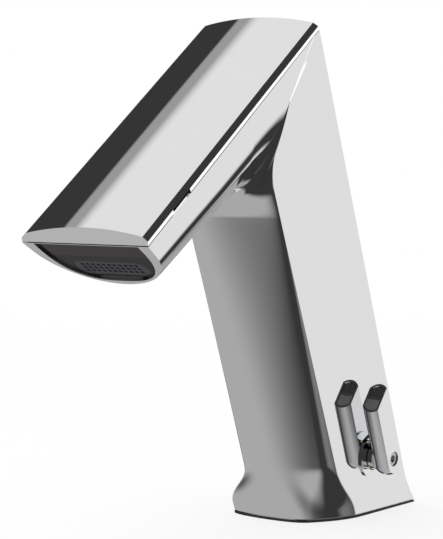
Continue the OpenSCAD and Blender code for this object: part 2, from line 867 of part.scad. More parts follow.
module inset(s, cut, up) {
    intersection() {
        lever_bar(inset_edge + cut);
        tip_frame() translate([-lever_r / cos(tip_slant), 0, 0])
            box([s > 0 ? bar_half + cut : -body_w, -body_w, -inset_deep],
                [s > 0 ? body_w : -bar_half - cut, body_w, up]);
    }
}
module hot_inset() {
    color(dark) mixer_frame() inset(1, fit, 0);
}
module cold_inset() {
    color(dark) mixer_frame() inset(-1, fit, 0);
}
module lever_screw() {
    z = lever_out - screw_top_in;
    color(steel) mixer_frame() difference() {
        union() {
            rod(screw_head_r, z - screw_head_t, z);
            rod(screw_r, -screw_in + fit, z - screw_head_t + fit);
        }
        translate([0, 0, z - screw_hex_deep]) cylinder(r = screw_hex_r, h = body_w, $fn = 6);
    }
}

// Foot
module foot_outline() {
    polygon([for (p = skin_rings[0]) [p[0], p[1]]]);
}
module foot_sheet(z0, z1, cut, head) {
    difference() {
        translate([0, 0, z0]) linear_extrude(z1 - z0) offset(delta = -cut) foot_outline();
        rod(bush_r + fit, z0 - over, z1 + over);
        for (p = inlet_places) translate(p) rod(inlet_bush_r + fit, z0 - over, z1 + over);
        translate(gland_at) rod(gland_r + fit, z0 - over, z1 + over);
        for (p = screw_places) translate(p) rod(head + fit, z0 - over, z1 + over);
    }
}
module base_plate() {
    color(steel) foot_sheet(gasket_t, base_t, plate_in, plate_screw_r);
}
module base_gasket() {
    color(black) foot_sheet(0, gasket_t, 0, plate_head_r);
}
module plate_screws() {
    color(steel) for (p = screw_places) translate(p) {
        rod(plate_head_r, fit, gasket_t);
        rod(plate_screw_r, gasket_t - fit, plate_screw_len - fit);
    }
}
module stud_bush() {
    color(brass) pipe(bush_r, stud_r, 0, stud_len);
}
module inlet(i) {
    color(brass) translate(inlet_places[i]) difference() {
        rod(inlet_bush_r, 0, inlet_len);
        rod(inlet_r, -over, inlet_len - seat_t);
        rod(seat_r, 0, inlet_len + over);
    }
}
module hot_inlet() {
    inlet(0);
}
module cold_inlet() {
    inlet(1);
}
poppet_r = 3.9;
poppet_t = 1.3;
guide_r = 1.2;
guide_h = 4;
check_spring_r = 2.6;
check_spring_w = 0.35;
check_turns = 4;
poppet_top = inlet_len + fit + poppet_t;
module poppet(i) {
    color(white) translate(inlet_places[i]) {
        rod(poppet_r, inlet_len + fit, poppet_top);
        rod(guide_r, poppet_top - fit, poppet_top + guide_h);
    }
}
module hot_check() {
    poppet(0);
}
module cold_check() {
    poppet(1);
}
module check_spring(i) {
    color(steel) translate(inlet_places[i])
        loft(coil_rings(check_spring_r, check_spring_w, poppet_top, check_top, check_turns));
}
module hot_spring() {
    check_spring(0);
}
module cold_spring() {
    check_spring(1);
}
module cable_gland() {
    color(black) translate(gland_at) pipe(gland_r, cable_r, 0, gland_h);
}

body();
crown();
crown_gasket();
crown_clips();
face_insert();
sensor_window();
sensor_board();
ir_emitter();
ir_receiver();
outlet_housing();
outlet_mesh();
control_module();
battery_pack();
battery_bracket();
valve_body();
valve_coil();
valve_plunger();
valve_spring();
valve_diaphragm();
riser_tube();
outlet_tube();
tube_orings();
cartridge_body();
cartridge_nut();
fixed_disc();
turning_disc();
spindle();
mixer_collar();
mixer_lever();
lever_screw();
hot_inset();
cold_inset();
base_plate();
base_gasket();
plate_screws();
stud_bush();
hot_inlet();
cold_inlet();
hot_check();
cold_check();
hot_spring();
cold_spring();
cable_gland();
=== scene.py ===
"""Sensor tap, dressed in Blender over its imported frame.

The frame gives each piece its place. The casting, the cover, the lever with its two fields,
the base plate and the gasket are remade here with smooth skins. Every other piece gets its
finish on the frame's own solid. Sizes are millimetres in the classes and metres in the meshes.
"""

import json  # noqa: E402
import logging  # noqa: E402
import math  # noqa: E402
from collections.abc import Iterable  # noqa: E402
from dataclasses import dataclass, field  # noqa: E402
from enum import Enum  # noqa: E402

import bmesh  # noqa: E402
import bpy  # noqa: E402
from mathutils import Matrix, Vector  # noqa: E402

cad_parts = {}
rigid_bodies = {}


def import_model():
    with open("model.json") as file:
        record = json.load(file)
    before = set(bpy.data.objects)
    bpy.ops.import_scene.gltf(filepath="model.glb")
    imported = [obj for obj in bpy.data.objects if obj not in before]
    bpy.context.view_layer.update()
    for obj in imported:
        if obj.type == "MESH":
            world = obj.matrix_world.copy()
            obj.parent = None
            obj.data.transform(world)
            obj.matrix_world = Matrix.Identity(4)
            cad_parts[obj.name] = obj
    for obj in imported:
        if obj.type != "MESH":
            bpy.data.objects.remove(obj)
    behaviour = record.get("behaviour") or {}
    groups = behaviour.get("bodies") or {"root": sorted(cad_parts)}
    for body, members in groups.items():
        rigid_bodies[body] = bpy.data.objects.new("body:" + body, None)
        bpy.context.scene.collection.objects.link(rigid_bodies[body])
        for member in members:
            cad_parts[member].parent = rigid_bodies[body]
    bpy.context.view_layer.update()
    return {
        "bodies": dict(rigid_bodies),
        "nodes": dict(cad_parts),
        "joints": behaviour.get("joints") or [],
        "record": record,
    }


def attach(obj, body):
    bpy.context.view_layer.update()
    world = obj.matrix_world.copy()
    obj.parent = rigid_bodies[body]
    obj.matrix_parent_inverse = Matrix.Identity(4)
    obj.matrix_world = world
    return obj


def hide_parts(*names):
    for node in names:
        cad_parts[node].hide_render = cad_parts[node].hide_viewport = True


LOG = logging.getLogger("sensor_tap")
MM = 0.001
FINE_TIMES = 14.0
BUMP_DEEP = 0.0001
WELD = 1e-7
TOUCH = 1e-6
MATCH_DIGITS = 4
WHITE = (1.0, 1.0, 1.0, 1.0)
# How far a cutter reaches past the part, in millimetres.
BEYOND = 60.0


class Zone(Enum):
    """The parts of a skin that stay crisp against each other."""

    BACK = 0
    FLAT = 1
    FRONT = 2
    FAR_FLAT = 3
    CUT = 4
    SHOULDER = 5
    STRIP = 6
    RIM = 7


def sind(a: float) -> float:
    """Returns the sine of an angle in degrees."""
    return math.sin(math.radians(a))


def cosd(a: float) -> float:
    """Returns the cosine of an angle in degrees."""
    return math.cos(math.radians(a))


def tand(a: float) -> float:
    """Returns the tangent of an angle in degrees."""
    return math.tan(math.radians(a))


def heading(a: float) -> Vector:
    """Returns the unit vector at an angle in the middle plane, as (y, z)."""
    return Vector((cosd(a), sind(a)))


def turn_x(a: float) -> Matrix:
    """Returns a turn about X by an angle in degrees."""
    return Matrix.Rotation(math.radians(a), 4, "X")


def turn_z(a: float) -> Matrix:
    """Returns a turn about Z by an angle in degrees."""
    return Matrix.Rotation(math.radians(a), 4, "Z")


def shift(x: float, y: float, z: float) -> Matrix:
    """Returns a shift in millimetres."""
    return Matrix.Translation((x, y, z))


def add_object(name: str, data: bpy.types.ID) -> bpy.types.Object:
    """Makes an object and links it into the scene.

    Args:
        name: its name.
        data: its mesh, camera or light.

    Returns:
        The object.
    """
    made = bpy.data.objects.new(name, data)
    bpy.context.scene.collection.objects.link(made)
    return made


@dataclass
class TapLines:
    """The tap's driving lines, in millimetres and degrees.

    The foot's front edge, its toe and the throat's round are fitted to the photograph. The
    other lines are the source's.
    """

    body_w: float = 49.0
    stem_lean: float = 22.9
    spout_slope: float = 32.7
    side_draft: float = 6.8
    crest_h: float = 183.7
    spout_len: float = 132.5
    heel_back: float = 30.9
    side_depth: float = 44.3
    edge_lean: float = 24.0
    hull_bulge: float = 13.0
    back_arch: float = 0.8
    nose_fall: float = 31.0
    foot_h: float = 21.9
    edge_recede: float = 10.5
    toe_flare: float = -1.0
    heel_flare: float = 4.0
    skirt_swell: float = 11.0
    keel_lean: float = 19.1
    spout_side: float = 8.5
    side_splay: float = 2.7
    keel_depth: float = 25.3
    keel_splay: float = 4.6
    crotch_back: float = 28.3
    throat_r: float = 12.0
    seam_drop: float = 1.8
    base_t: float = 1.3
    foot_lip: float = 4.3
    heel_flare_h: float = 14.3
    toe_flare_h: float = 23.3
    arc_start: float = 10.0
    knee_drop: float = 52.2
    knee_cut: float = 7.0
    knee_share: float = 0.25
    bend_share: float = 0.65
    mixer_up: float = 32.3
    mixer_in: float = 18.1

    def __post_init__(self) -> None:
        """Works out the corners and the throat's round from the driving lines."""
        self.crest = Vector((self.back_line(self.crest_h), self.crest_h))
        self.nose = self.crest - self.spout_len * heading(self.spout_slope)
        self.crotch_u = self.spout_len - self.crotch_back
        self.crotch = self.spout_pt(self.crotch_u, self.side_v(self.crotch_u))
        knee_z = self.crest_h - self.knee_drop
        self.knee = Vector((self.edge_line(knee_z), knee_z))
        self.knee_lo = self.knee - self.knee_cut * heading(90 + self.edge_lean)
        self.knee_hi = self.knee + self.knee_cut * (self.crotch - self.knee).normalized()
        stem_dir = 90 + self.keel_lean
        keel_dir = self.spout_slope - self.keel_splay
        stem_keel = self.keel_at(self.foot_h * 2)
        spout_keel = self.spout_pt(0, self.keel_v(0))
        a, b = heading(stem_dir), heading(keel_dir)
        run = spout_keel - stem_keel
        step = (run.x * b.y - run.y * b.x) / (a.x * b.y - a.y * b.x)
        corner = stem_keel + step * a
        half = (stem_dir - keel_dir) / 2
        middle = (stem_dir + 180 + keel_dir + 180) / 2
        self.throat_c = corner + self.throat_r / sind(half) * heading(middle)
        self.throat_a0 = stem_dir - 90
        self.throat_a1 = keel_dir + 90
        self.throat_am = (self.throat_a0 + self.throat_a1) / 2
        self.throat_z = self.throat_at(self.throat_a0).y
        self.throat_u = (self.throat_at(self.throat_a1) - self.nose).dot(heading(self.spout_slope))
        self.end_o = self.spout_pt(0, self.seam_drop)

    def back_line(self, z: float) -> float:
        """Returns the straight back's y at a height."""
        return self.heel_back - z * tand(self.stem_lean)

    def edge_line(self, z: float) -> float:
        """Returns the flat side's straight front edge's y at a height."""
        return self.heel_back - self.side_depth - z * tand(self.edge_lean)

    def foot_share(self, z: float) -> float:
        """Returns how much of the foot's skirt shows at a height, from 0 to 1."""
        if z > self.foot_h:
            return 0.0
        if z < self.foot_lip:
            return 1.0
        return (1 + cosd(180 * (z - self.foot_lip) / (self.foot_h - self.foot_lip))) / 2

    @staticmethod
    def cut_back(z: float, h: float) -> float:
        """Returns a flare's share at a height, fading out at h."""
        return max(0.0, 1 - z / h) ** 2

    def back_at(self, z: float) -> Vector:
        """Returns the back edge at a height, as (y, z)."""
        return Vector((self.back_line(z) + self.heel_flare * self.cut_back(z, self.heel_flare_h), z))

    def edge_at(self, z: float) -> Vector:
        """Returns the flat side's front edge at a height, as (y, z)."""
        return Vector((self.edge_line(z) + self.edge_recede * self.foot_share(z), z))

    def keel_at(self, z: float) -> Vector:
        """Returns the rounded front's foremost line at a height, as (y, z)."""
        flare = self.toe_flare * self.cut_back(z, self.toe_flare_h)
        keel = self.edge_line(self.foot_h) - (z - self.foot_h) * tand(self.keel_lean)
        return Vector((keel - self.hull_bulge - flare, z))

    def spout_pt(self, u: float, v: float) -> Vector:
        """Returns a point u along the spout and v under its top line, as (y, z)."""
        return self.nose + u * heading(self.spout_slope) - v * heading(self.spout_slope + 90)

    def side_v(self, u: float) -> float:
        """Returns the depth of the spout's flat side at u."""
        return self.spout_side + u * tand(self.side_splay)

    def keel_v(self, u: float) -> float:
        """Returns the depth of the spout's rounded underside at u."""
        return self.keel_depth + u * tand(self.keel_splay)

    def throat_at(self, a: float) -> Vector:
        """Returns a point of the throat's round at an angle, as (y, z)."""
        return self.throat_c + self.throat_r * heading(a)

    def half_at(self, depth: float) -> float:
        """Returns the flat sides' half width at a depth under the back or top line."""
        return self.body_w / 2 - depth * tand(self.side_draft)

    def stem_half(self, p: Vector) -> float:
        """Returns the stem's half width at a point of the middle plane."""
        return self.half_at((self.back_line(p.y) - p.x) * cosd(self.stem_lean))

    def spout_half(self, p: Vector) -> float:
        """Returns the spout's half width at a point of the middle plane."""
        return self.half_at(-(p - self.nose).dot(heading(self.spout_slope + 90)))

    def spout_frame(self) -> Matrix:
        """Returns the frame at the nose, with Y up the spout and Z off its top."""
        return shift(0, self.nose.x, self.nose.y) @ turn_x(self.spout_slope)

    def stem_frame(self) -> Matrix:
        """Returns the frame at the heel, with Z up the stem and Y backwards."""
        return shift(0, self.heel_back, 0) @ turn_x(self.stem_lean)

    def end_frame(self) -> Matrix:
        """Returns the frame of the nose's end face, with Y down it and Z inwards."""
        return shift(0, self.end_o.x, self.end_o.y) @ turn_x(-self.nose_fall)

    def mixer_frame(self) -> Matrix:
        """Returns the frame of the mixer on the flat side, with Z outwards and Y up."""
        place = shift(self.half_at(self.mixer_in), -self.mixer_in, self.mixer_up)
        return self.stem_frame() @ place @ turn_z(-self.side_draft) @ turn_z(90) @ turn_x(90)


class NodeKit:
    """Short calls for making shader nodes."""

    def __init__(self, tree: bpy.types.NodeTree) -> None:
        """Keeps the tree that the nodes go into.

        Args:
            tree: the node tree.
        """
        self.tree = tree

    def add(self, kind: str, ins: dict[str | int, object] | None = None, **values: object) -> bpy.types.Node:
        """Adds a node and sets its properties and inputs.

        Args:
            kind: the node's type name.
            ins: its inputs by name or number, as values or as outputs to link.
            values: its properties.

        Returns:
            The node.
        """
        node = self.tree.nodes.new(kind)
        for key, value in values.items():
            setattr(node, key, value)
        for key, value in (ins or {}).items():
            self.feed(node.inputs[key], value)
        return node

    def feed(self, socket: bpy.types.NodeSocket, value: object) -> None:
        """Sets an input socket, or links it where the value is an output."""
        if isinstance(value, bpy.types.NodeSocket):
            self.tree.links.new(value, socket)
        else:
            socket.default_value = value


def surface_play_group() -> bpy.types.NodeTree:
    """Makes, once, the group that varies a finish over its surface.

    Returns:
        The group: colour, roughness and height, from noise at two scales.
    """
    name = "surface_play"
    if name in bpy.data.node_groups:
        return bpy.data.node_groups[name]
    tree = bpy.data.node_groups.new(name, "ShaderNodeTree")
    for socket, kind, value in (
        ("Scale", "NodeSocketFloat", 40.0),
        ("Colour", "NodeSocketColor", (0.8, 0.8, 0.8, 1.0)),
        ("Shade", "NodeSocketColor", (0.7, 0.7, 0.7, 1.0)),
        ("Rough Low", "NodeSocketFloat", 0.1),
        ("Rough High", "NodeSocketFloat", 0.2),
    ):
        made = tree.interface.new_socket(name=socket, in_out="INPUT", socket_type=kind)
        made.default_value = value
    for socket, kind in (
        ("Colour", "NodeSocketColor"),
        ("Roughness", "NodeSocketFloat"),
        ("Height", "NodeSocketFloat"),
    ):
        tree.interface.new_socket(name=socket, in_out="OUTPUT", socket_type=kind)
    kit = NodeKit(tree)
    ins = kit.add("NodeGroupInput").outputs
    place = kit.add("ShaderNodeTexCoord").outputs["Object"]
    broad = kit.add("ShaderNodeTexNoise", {"Vector": place, "Scale": ins["Scale"], "Detail": 2.0})
    times = kit.add("ShaderNodeMath", {0: ins["Scale"], 1: FINE_TIMES}, operation="MULTIPLY")
    fine = kit.add("ShaderNodeTexNoise", {"Vector": place, "Scale": times.outputs[0], "Detail": 4.0})
    height = fine.outputs["Fac"]
    tints = {0: broad.outputs["Fac"], 6: ins["Colour"], 7: ins["Shade"]}
    mix = kit.add("ShaderNodeMix", tints, data_type="RGBA")
    span = {"Value": height, "To Min": ins["Rough Low"], "To Max": ins["Rough High"]}
    rough = kit.add("ShaderNodeMapRange", span)
    kit.add("NodeGroupOutput", {"Colour": mix.outputs[2], "Roughness": rough.outputs[0], "Height": height})
    return tree


@dataclass(frozen=True)
class Finish:
    """One surface finish, as a maker would name it."""

    name: str
    slot: str
    colour: tuple[float, float, float]
    shade: tuple[float, float, float]
    metallic: float = 0.0
    rough: tuple[float, float] = (0.3, 0.4)
    scale: float = 60.0
    bump: float = 0.0
    coat: float = 0.0
    gloss: float = 0.5

    def material(self) -> bpy.types.Material:
        """Makes the finish's material, once.

        Returns:
            The material.
        """
        if self.name in bpy.data.materials:
            return bpy.data.materials[self.name]
        made = bpy.data.materials.new(self.name)
        made.use_nodes = True
        kit = NodeKit(made.node_tree)
        shader = made.node_tree.nodes["Principled BSDF"]
        values = {
            "Scale": self.scale,
            "Colour": (*self.colour, 1.0),
            "Shade": (*self.shade, 1.0),
            "Rough Low": self.rough[0],
            "Rough High": self.rough[1],
        }
        play = kit.add("ShaderNodeGroup", values, node_tree=surface_play_group()).outputs
        for socket, value in (
            ("Base Color", play["Colour"]),
            ("Roughness", play["Roughness"]),
            ("Metallic", self.metallic),
            ("Coat Weight", self.coat),
            ("Specular IOR Level", self.gloss),
        ):
            kit.feed(shader.inputs[socket], value)
        if self.bump:
            relief = {"Strength": self.bump, "Distance": BUMP_DEEP, "Height": play["Height"]}
            kit.feed(shader.inputs["Normal"], kit.add("ShaderNodeBump", relief).outputs["Normal"])
        made.diffuse_color = (*self.colour, 1.0)
        return made


CHROME = Finish(
    "polished_chrome", "chrome", (0.93, 0.93, 0.935), (0.9, 0.905, 0.915), 1.0, (0.02, 0.035), 30.0
)
SATIN = Finish("satin_rim", "chrome", (0.95, 0.95, 0.95), (0.9, 0.9, 0.9), 1.0, (0.5, 0.6), 60.0)
STEEL = Finish(
    "bright_steel", "spring_steel", (0.62, 0.62, 0.63), (0.54, 0.54, 0.56), 1.0, (0.16, 0.3), 90.0, 0.2
)
BRASS = Finish(
    "turned_brass", "brass", (0.78, 0.6, 0.3), (0.66, 0.48, 0.22), 1.0, (0.18, 0.32), 80.0, 0.2
)
RUBBER = Finish(
    "black_rubber", "seal", (0.022, 0.022, 0.023), (0.035, 0.035, 0.035), 0.0, (0.55, 0.75), 120.0, 0.5
)
FACE_BLACK = Finish(
    "face_black", "black_plastic", (0.008, 0.008, 0.009), (0.012, 0.012, 0.013), 0.0, (0.16, 0.24), 60.0,
    gloss=0.12,
)
WINDOW = Finish(
    "window_dark", "dark_window", (0.012, 0.009, 0.012), (0.016, 0.01, 0.014), 0.0, (0.05, 0.08), 40.0,
    coat=0.12, gloss=0.12,
)
CASE_GREY = Finish(
    "case_grey", "grey_plastic", (0.045, 0.046, 0.05), (0.06, 0.061, 0.065), 0.0, (0.42, 0.6), 140.0, 0.5,
    gloss=0.2,
)
CASE_WHITE = Finish(
    "case_white", "white_plastic", (0.74, 0.74, 0.72), (0.68, 0.68, 0.66), 0.0, (0.32, 0.45), 100.0, 0.3
)
CERAMIC = Finish("lapped_ceramic", "ceramic", (0.82, 0.82, 0.79), (0.78, 0.77, 0.74), 0.0, (0.1, 0.16), 80.0)
BOARD = Finish(
    "board_green", "circuit_board", (0.02, 0.13, 0.05), (0.03, 0.17, 0.07), 0.0, (0.3, 0.4), 260.0, 0.2
)
INSET_DARK = Finish(
    "inset_dark", "inset_dark", (0.042, 0.042, 0.043), (0.05, 0.05, 0.05), 0.0, (0.42, 0.52), 200.0, 0.3
)
INSET_MID = Finish(
    "inset_mid", "inset_mid", (0.138, 0.138, 0.14), (0.15, 0.15, 0.15), 0.0, (0.42, 0.52), 200.0, 0.3
)

FINISH_NODES: dict[Finish, tuple[str, ...]] = {
    CHROME: ("body", "crown", "mixer_collar", "mixer_lever"),
    RUBBER: ("crown_gasket", "valve_diaphragm", "tube_orings", "base_gasket", "cable_gland"),
    STEEL: (
        "crown_clips", "battery_bracket", "valve_plunger", "valve_spring", "lever_screw",
        "base_plate", "plate_screws", "hot_spring", "cold_spring",
    ),
    FACE_BLACK: ("face_insert", "battery_pack"),
    WINDOW: ("sensor_window", "ir_emitter", "ir_receiver"),
    BOARD: ("sensor_board",),
    # The outlet mesh takes the dark grey plastic: its dark tone is painted shade, standing in for the shade
    # in the holes of a steel mesh.
    CASE_GREY: ("outlet_housing", "outlet_mesh", "control_module", "valve_body", "valve_coil"),
    CASE_WHITE: ("riser_tube", "outlet_tube", "cartridge_body", "hot_check", "cold_check"),
    BRASS: ("cartridge_nut", "spindle", "stud_bush", "hot_inlet", "cold_inlet"),
    CERAMIC: ("fixed_disc", "turning_disc"),
    INSET_DARK: ("hot_inset",),
    INSET_MID: ("cold_inset",),
}
NODE_FINISH = {name: finish for finish, names in FINISH_NODES.items() for name in names}


def zoned_object(name: str, shape: bmesh.types.BMesh) -> bpy.types.Object:
    """Makes an object in metres from a bmesh in millimetres, with a slot for each zone.

    Args:
        name: the object's name.
        shape: its shape, which is freed.

    Returns:
        The object.
    """
    bmesh.ops.scale(shape, vec=(MM, MM, MM), verts=shape.verts)
    mesh = bpy.data.meshes.new(name)
    shape.to_mesh(mesh)
    shape.free()
    for _ in Zone:
        mesh.materials.append(CHROME.material())
    return add_object(name, mesh)


class Solid:
    """A mesh object being shaped by cutters, in the tap's own frame."""

    def __init__(self, name: str, shape: bmesh.types.BMesh) -> None:
        """Makes the object from a bmesh in millimetres.

        Args:
            name: the piece's name.
            shape: its first shape, which is freed.
        """
        self.obj = zoned_object(name, shape)
        self.cutters: list[bpy.types.Object] = []

    def cut(self, shape: bmesh.types.BMesh, how: str = "DIFFERENCE") -> None:
        """Adds a cutter, or a shape to join or to keep.

        Args:
            shape: the cutter in millimetres, which is freed.
            how: DIFFERENCE, UNION or INTERSECT.
        """
        cutter = zoned_object("cutter", shape)
        step = self.obj.modifiers.new("cut", "BOOLEAN")
        step.operation = how
        step.solver = "EXACT"
        step.object = cutter
        self.cutters.append(cutter)

    def settle(self, smooth: float = 28.0) -> bpy.types.Object:
        """Applies the cutters and marks the crisp edges.

        Args:
            smooth: the angle in degrees over which an edge is crisp.

        Returns:
            The finished object.
        """
        graph = bpy.context.evaluated_depsgraph_get()
        mesh = bpy.data.meshes.new_from_object(self.obj.evaluated_get(graph))
        self.obj.modifiers.clear()
        old = self.obj.data
        self.obj.data = mesh
        bpy.data.meshes.remove(old)
        for cutter in self.cutters:
            data = cutter.data
            bpy.data.objects.remove(cutter)
            bpy.data.meshes.remove(data)
        self.cutters.clear()
        self.crisp(smooth)
        mesh.name = self.obj.name
        return self.obj

    def crisp(self, smooth: float) -> None:
        """Smooths the faces, and marks edges between zones or over an angle as crisp.

        Afterwards only the rim's faces have a second material.

        Args:
            smooth: the angle in degrees.
        """
        shape = bmesh.new()
        shape.from_mesh(self.obj.data)
        bmesh.ops.remove_doubles(shape, verts=shape.verts, dist=WELD)
        bmesh.ops.dissolve_degenerate(shape, edges=shape.edges, dist=WELD)
        for face in shape.faces:
            face.smooth = True
        limit = math.radians(smooth)
        for edge in shape.edges:
            faces = edge.link_faces
            apart = len(faces) != 2 or faces[0].material_index != faces[1].material_index
            edge.smooth = not (apart or edge.calc_face_angle(0.0) > limit)
        for face in shape.faces:
            face.material_index = int(face.material_index == Zone.RIM.value)
        shape.to_mesh(self.obj.data)
        shape.free()


def zoned(shape: bmesh.types.BMesh, zone: Zone) -> bmesh.types.BMesh:
    """Marks all of a shape's faces with one zone and returns it."""
    for face in shape.faces:
        face.material_index = zone.value
    return shape


def box_shape(
    frame: Matrix,
    lo: tuple[float, float, float],
    hi: tuple[float, float, float],
    zone: Zone = Zone.CUT,
) -> bmesh.types.BMesh:
    """Makes a box in a frame.

    Args:
        frame: the frame it stands in.
        lo: its lowest corner.
        hi: its highest corner.
        zone: the zone its faces leave on what it cuts.

    Returns:
        The box.
    """
    shape = bmesh.new()
    size = [h - l for l, h in zip(lo, hi)]
    middle = [(h + l) / 2 for l, h in zip(lo, hi)]
    place = frame @ Matrix.Translation(middle) @ Matrix.Diagonal((*size, 1.0))
    bmesh.ops.create_cube(shape, size=1.0, matrix=place)
    return zoned(shape, zone)


def rod_shape(
    frame: Matrix, r: float, z0: float, z1: float, steps: int = 64, zone: Zone = Zone.CUT
) -> bmesh.types.BMesh:
    """Makes a round rod along a frame's Z.

    Args:
        frame: the frame it stands in.
        r: its radius.
        z0: where it starts.
        z1: where it ends.
        steps: the sides of its round.
        zone: the zone its faces leave on what it cuts.

    Returns:
        The rod.
    """
    shape = bmesh.new()
    bmesh.ops.create_cone(
        shape,
        cap_ends=True,
        cap_tris=False,
        segments=steps,
        radius1=r,
        radius2=r,
        depth=z1 - z0,
        matrix=frame @ shift(0, 0, (z0 + z1) / 2),
    )
    return zoned(shape, zone)


def plate_shape(
    frame: Matrix, outline: list[tuple[float, float]], z0: float, z1: float, zone: Zone = Zone.CUT
) -> bmesh.types.BMesh:
    """Makes a plate from an outline in a frame's XY plane.

    Args:
        frame: the frame it lies in.
        outline: its corners in order.
        z0: its underside.
        z1: its top.
        zone: the zone its faces leave on what it cuts.

    Returns:
        The plate.
    """
    shape = bmesh.new()
    face = shape.faces.new([shape.verts.new((x, y, z0)) for x, y in outline])
    raise_face(shape, face, (0, 0, z1 - z0))
    bmesh.ops.recalc_face_normals(shape, faces=shape.faces)
    bmesh.ops.transform(shape, matrix=frame, verts=shape.verts)
    return zoned(shape, zone)


def raise_face(shape: bmesh.types.BMesh, face: bmesh.types.BMFace, way: tuple[float, float, float]) -> None:
    """Extrudes a face along a way.

    Args:
        shape: the shape it belongs to.
        face: the face.
        way: how far its copy goes.
    """
    made = bmesh.ops.extrude_face_region(shape, geom=[face])
    moved = [v for v in made["geom"] if isinstance(v, bmesh.types.BMVert)]
    bmesh.ops.translate(shape, vec=way, verts=moved)


def obround(half_len: float, r: float, cx: float, cy: float, steps: int = 24) -> list[tuple[float, float]]:
    """Works out an obround's outline along X.

    Args:
        half_len: half its length.
        r: the radius of its ends.
        cx: its middle's x.
        cy: its middle's y.
        steps: the points of each end.

    Returns:
        Its corners in order.
    """
    points = []
    for side in (1, -1):
        middle = cx + side * (half_len - r)
        for i in range(steps + 1):
            a = 180 * i / steps - 90 * side
            points.append((middle + r * cosd(a), cy + r * sind(a)))
    return points


@dataclass
class Nose:
    """The nose's end face: the recess, the slot and the pocket cut into the casting."""

    face_half: float = 20.0
    face_top: float = 0.4
    face_low: float = 24.9
    face_bow: float = 2.8
    face_gap: float = 0.1
    face_deep: float = 3.6
    face_over: float = 1.0
    slot_half: float = 14.5
    slot_r: float = 4.7
    slot_e: float = 17.9
    slot_from: float = 0.5
    slot_deep: float = 12.0
    slot_fit: float = 0.05
    pocket_half: float = 15.8
    pocket_top: float = 5.0
    pocket_low: float = 10.4
    pocket_from: float = 1.0
    pocket_deep: float = 8.0

    def outline(self, grow: float, steps: int = 96) -> list[tuple[float, float]]:
        """Works out the face plate's outline.

        Args:
            grow: how far it stands out from the plate's own.
            steps: the points of its bow.

        Returns:
            Its corners in order.
        """
        points = []
        power = 2 / self.face_bow
        for i in range(steps + 1):
            a = 180 * i / steps
            c, s = cosd(a), abs(sind(a))
            x = (self.face_half + grow) * math.copysign(abs(c) ** power, c)
            points.append((x, self.face_top + (self.face_low - self.face_top + grow) * s**power))
        return points


NOSE = Nose()


@dataclass(frozen=True)
class Bore:
    """One round bore up from the deck: its place, its radius and its depth."""

    x: float
    y: float
    r: float
    deep: float


STUD_BORE = Bore(0, 0, 5.25, 10.3)
HOT_BORE = Bore(-10.5, -4.6, 4.75, 17.5)
COLD_BORE = Bore(-10.5, 6.6, 4.75, 17.5)
CABLE_BORE = Bore(-6, -13, 3.65, 8)
BORES = (STUD_BORE, HOT_BORE, COLD_BORE, CABLE_BORE)
SCREWS = ((16, 22), (-16, 22), (0, -24))
SCREW_STEPS = 32


@dataclass(frozen=True)
class Sheet:
    """One sheet under the foot: its heights, its inset and the radius of its screw holes."""

    name: str
    z0: float
    z1: float
    inset: float
    screw_r: float


PLATE = Sheet("plate_sheet", 0.7, 1.28, 0.6, 1.52)
GASKET = Sheet("gasket_sheet", 0, 0.7, 0, 3.0)


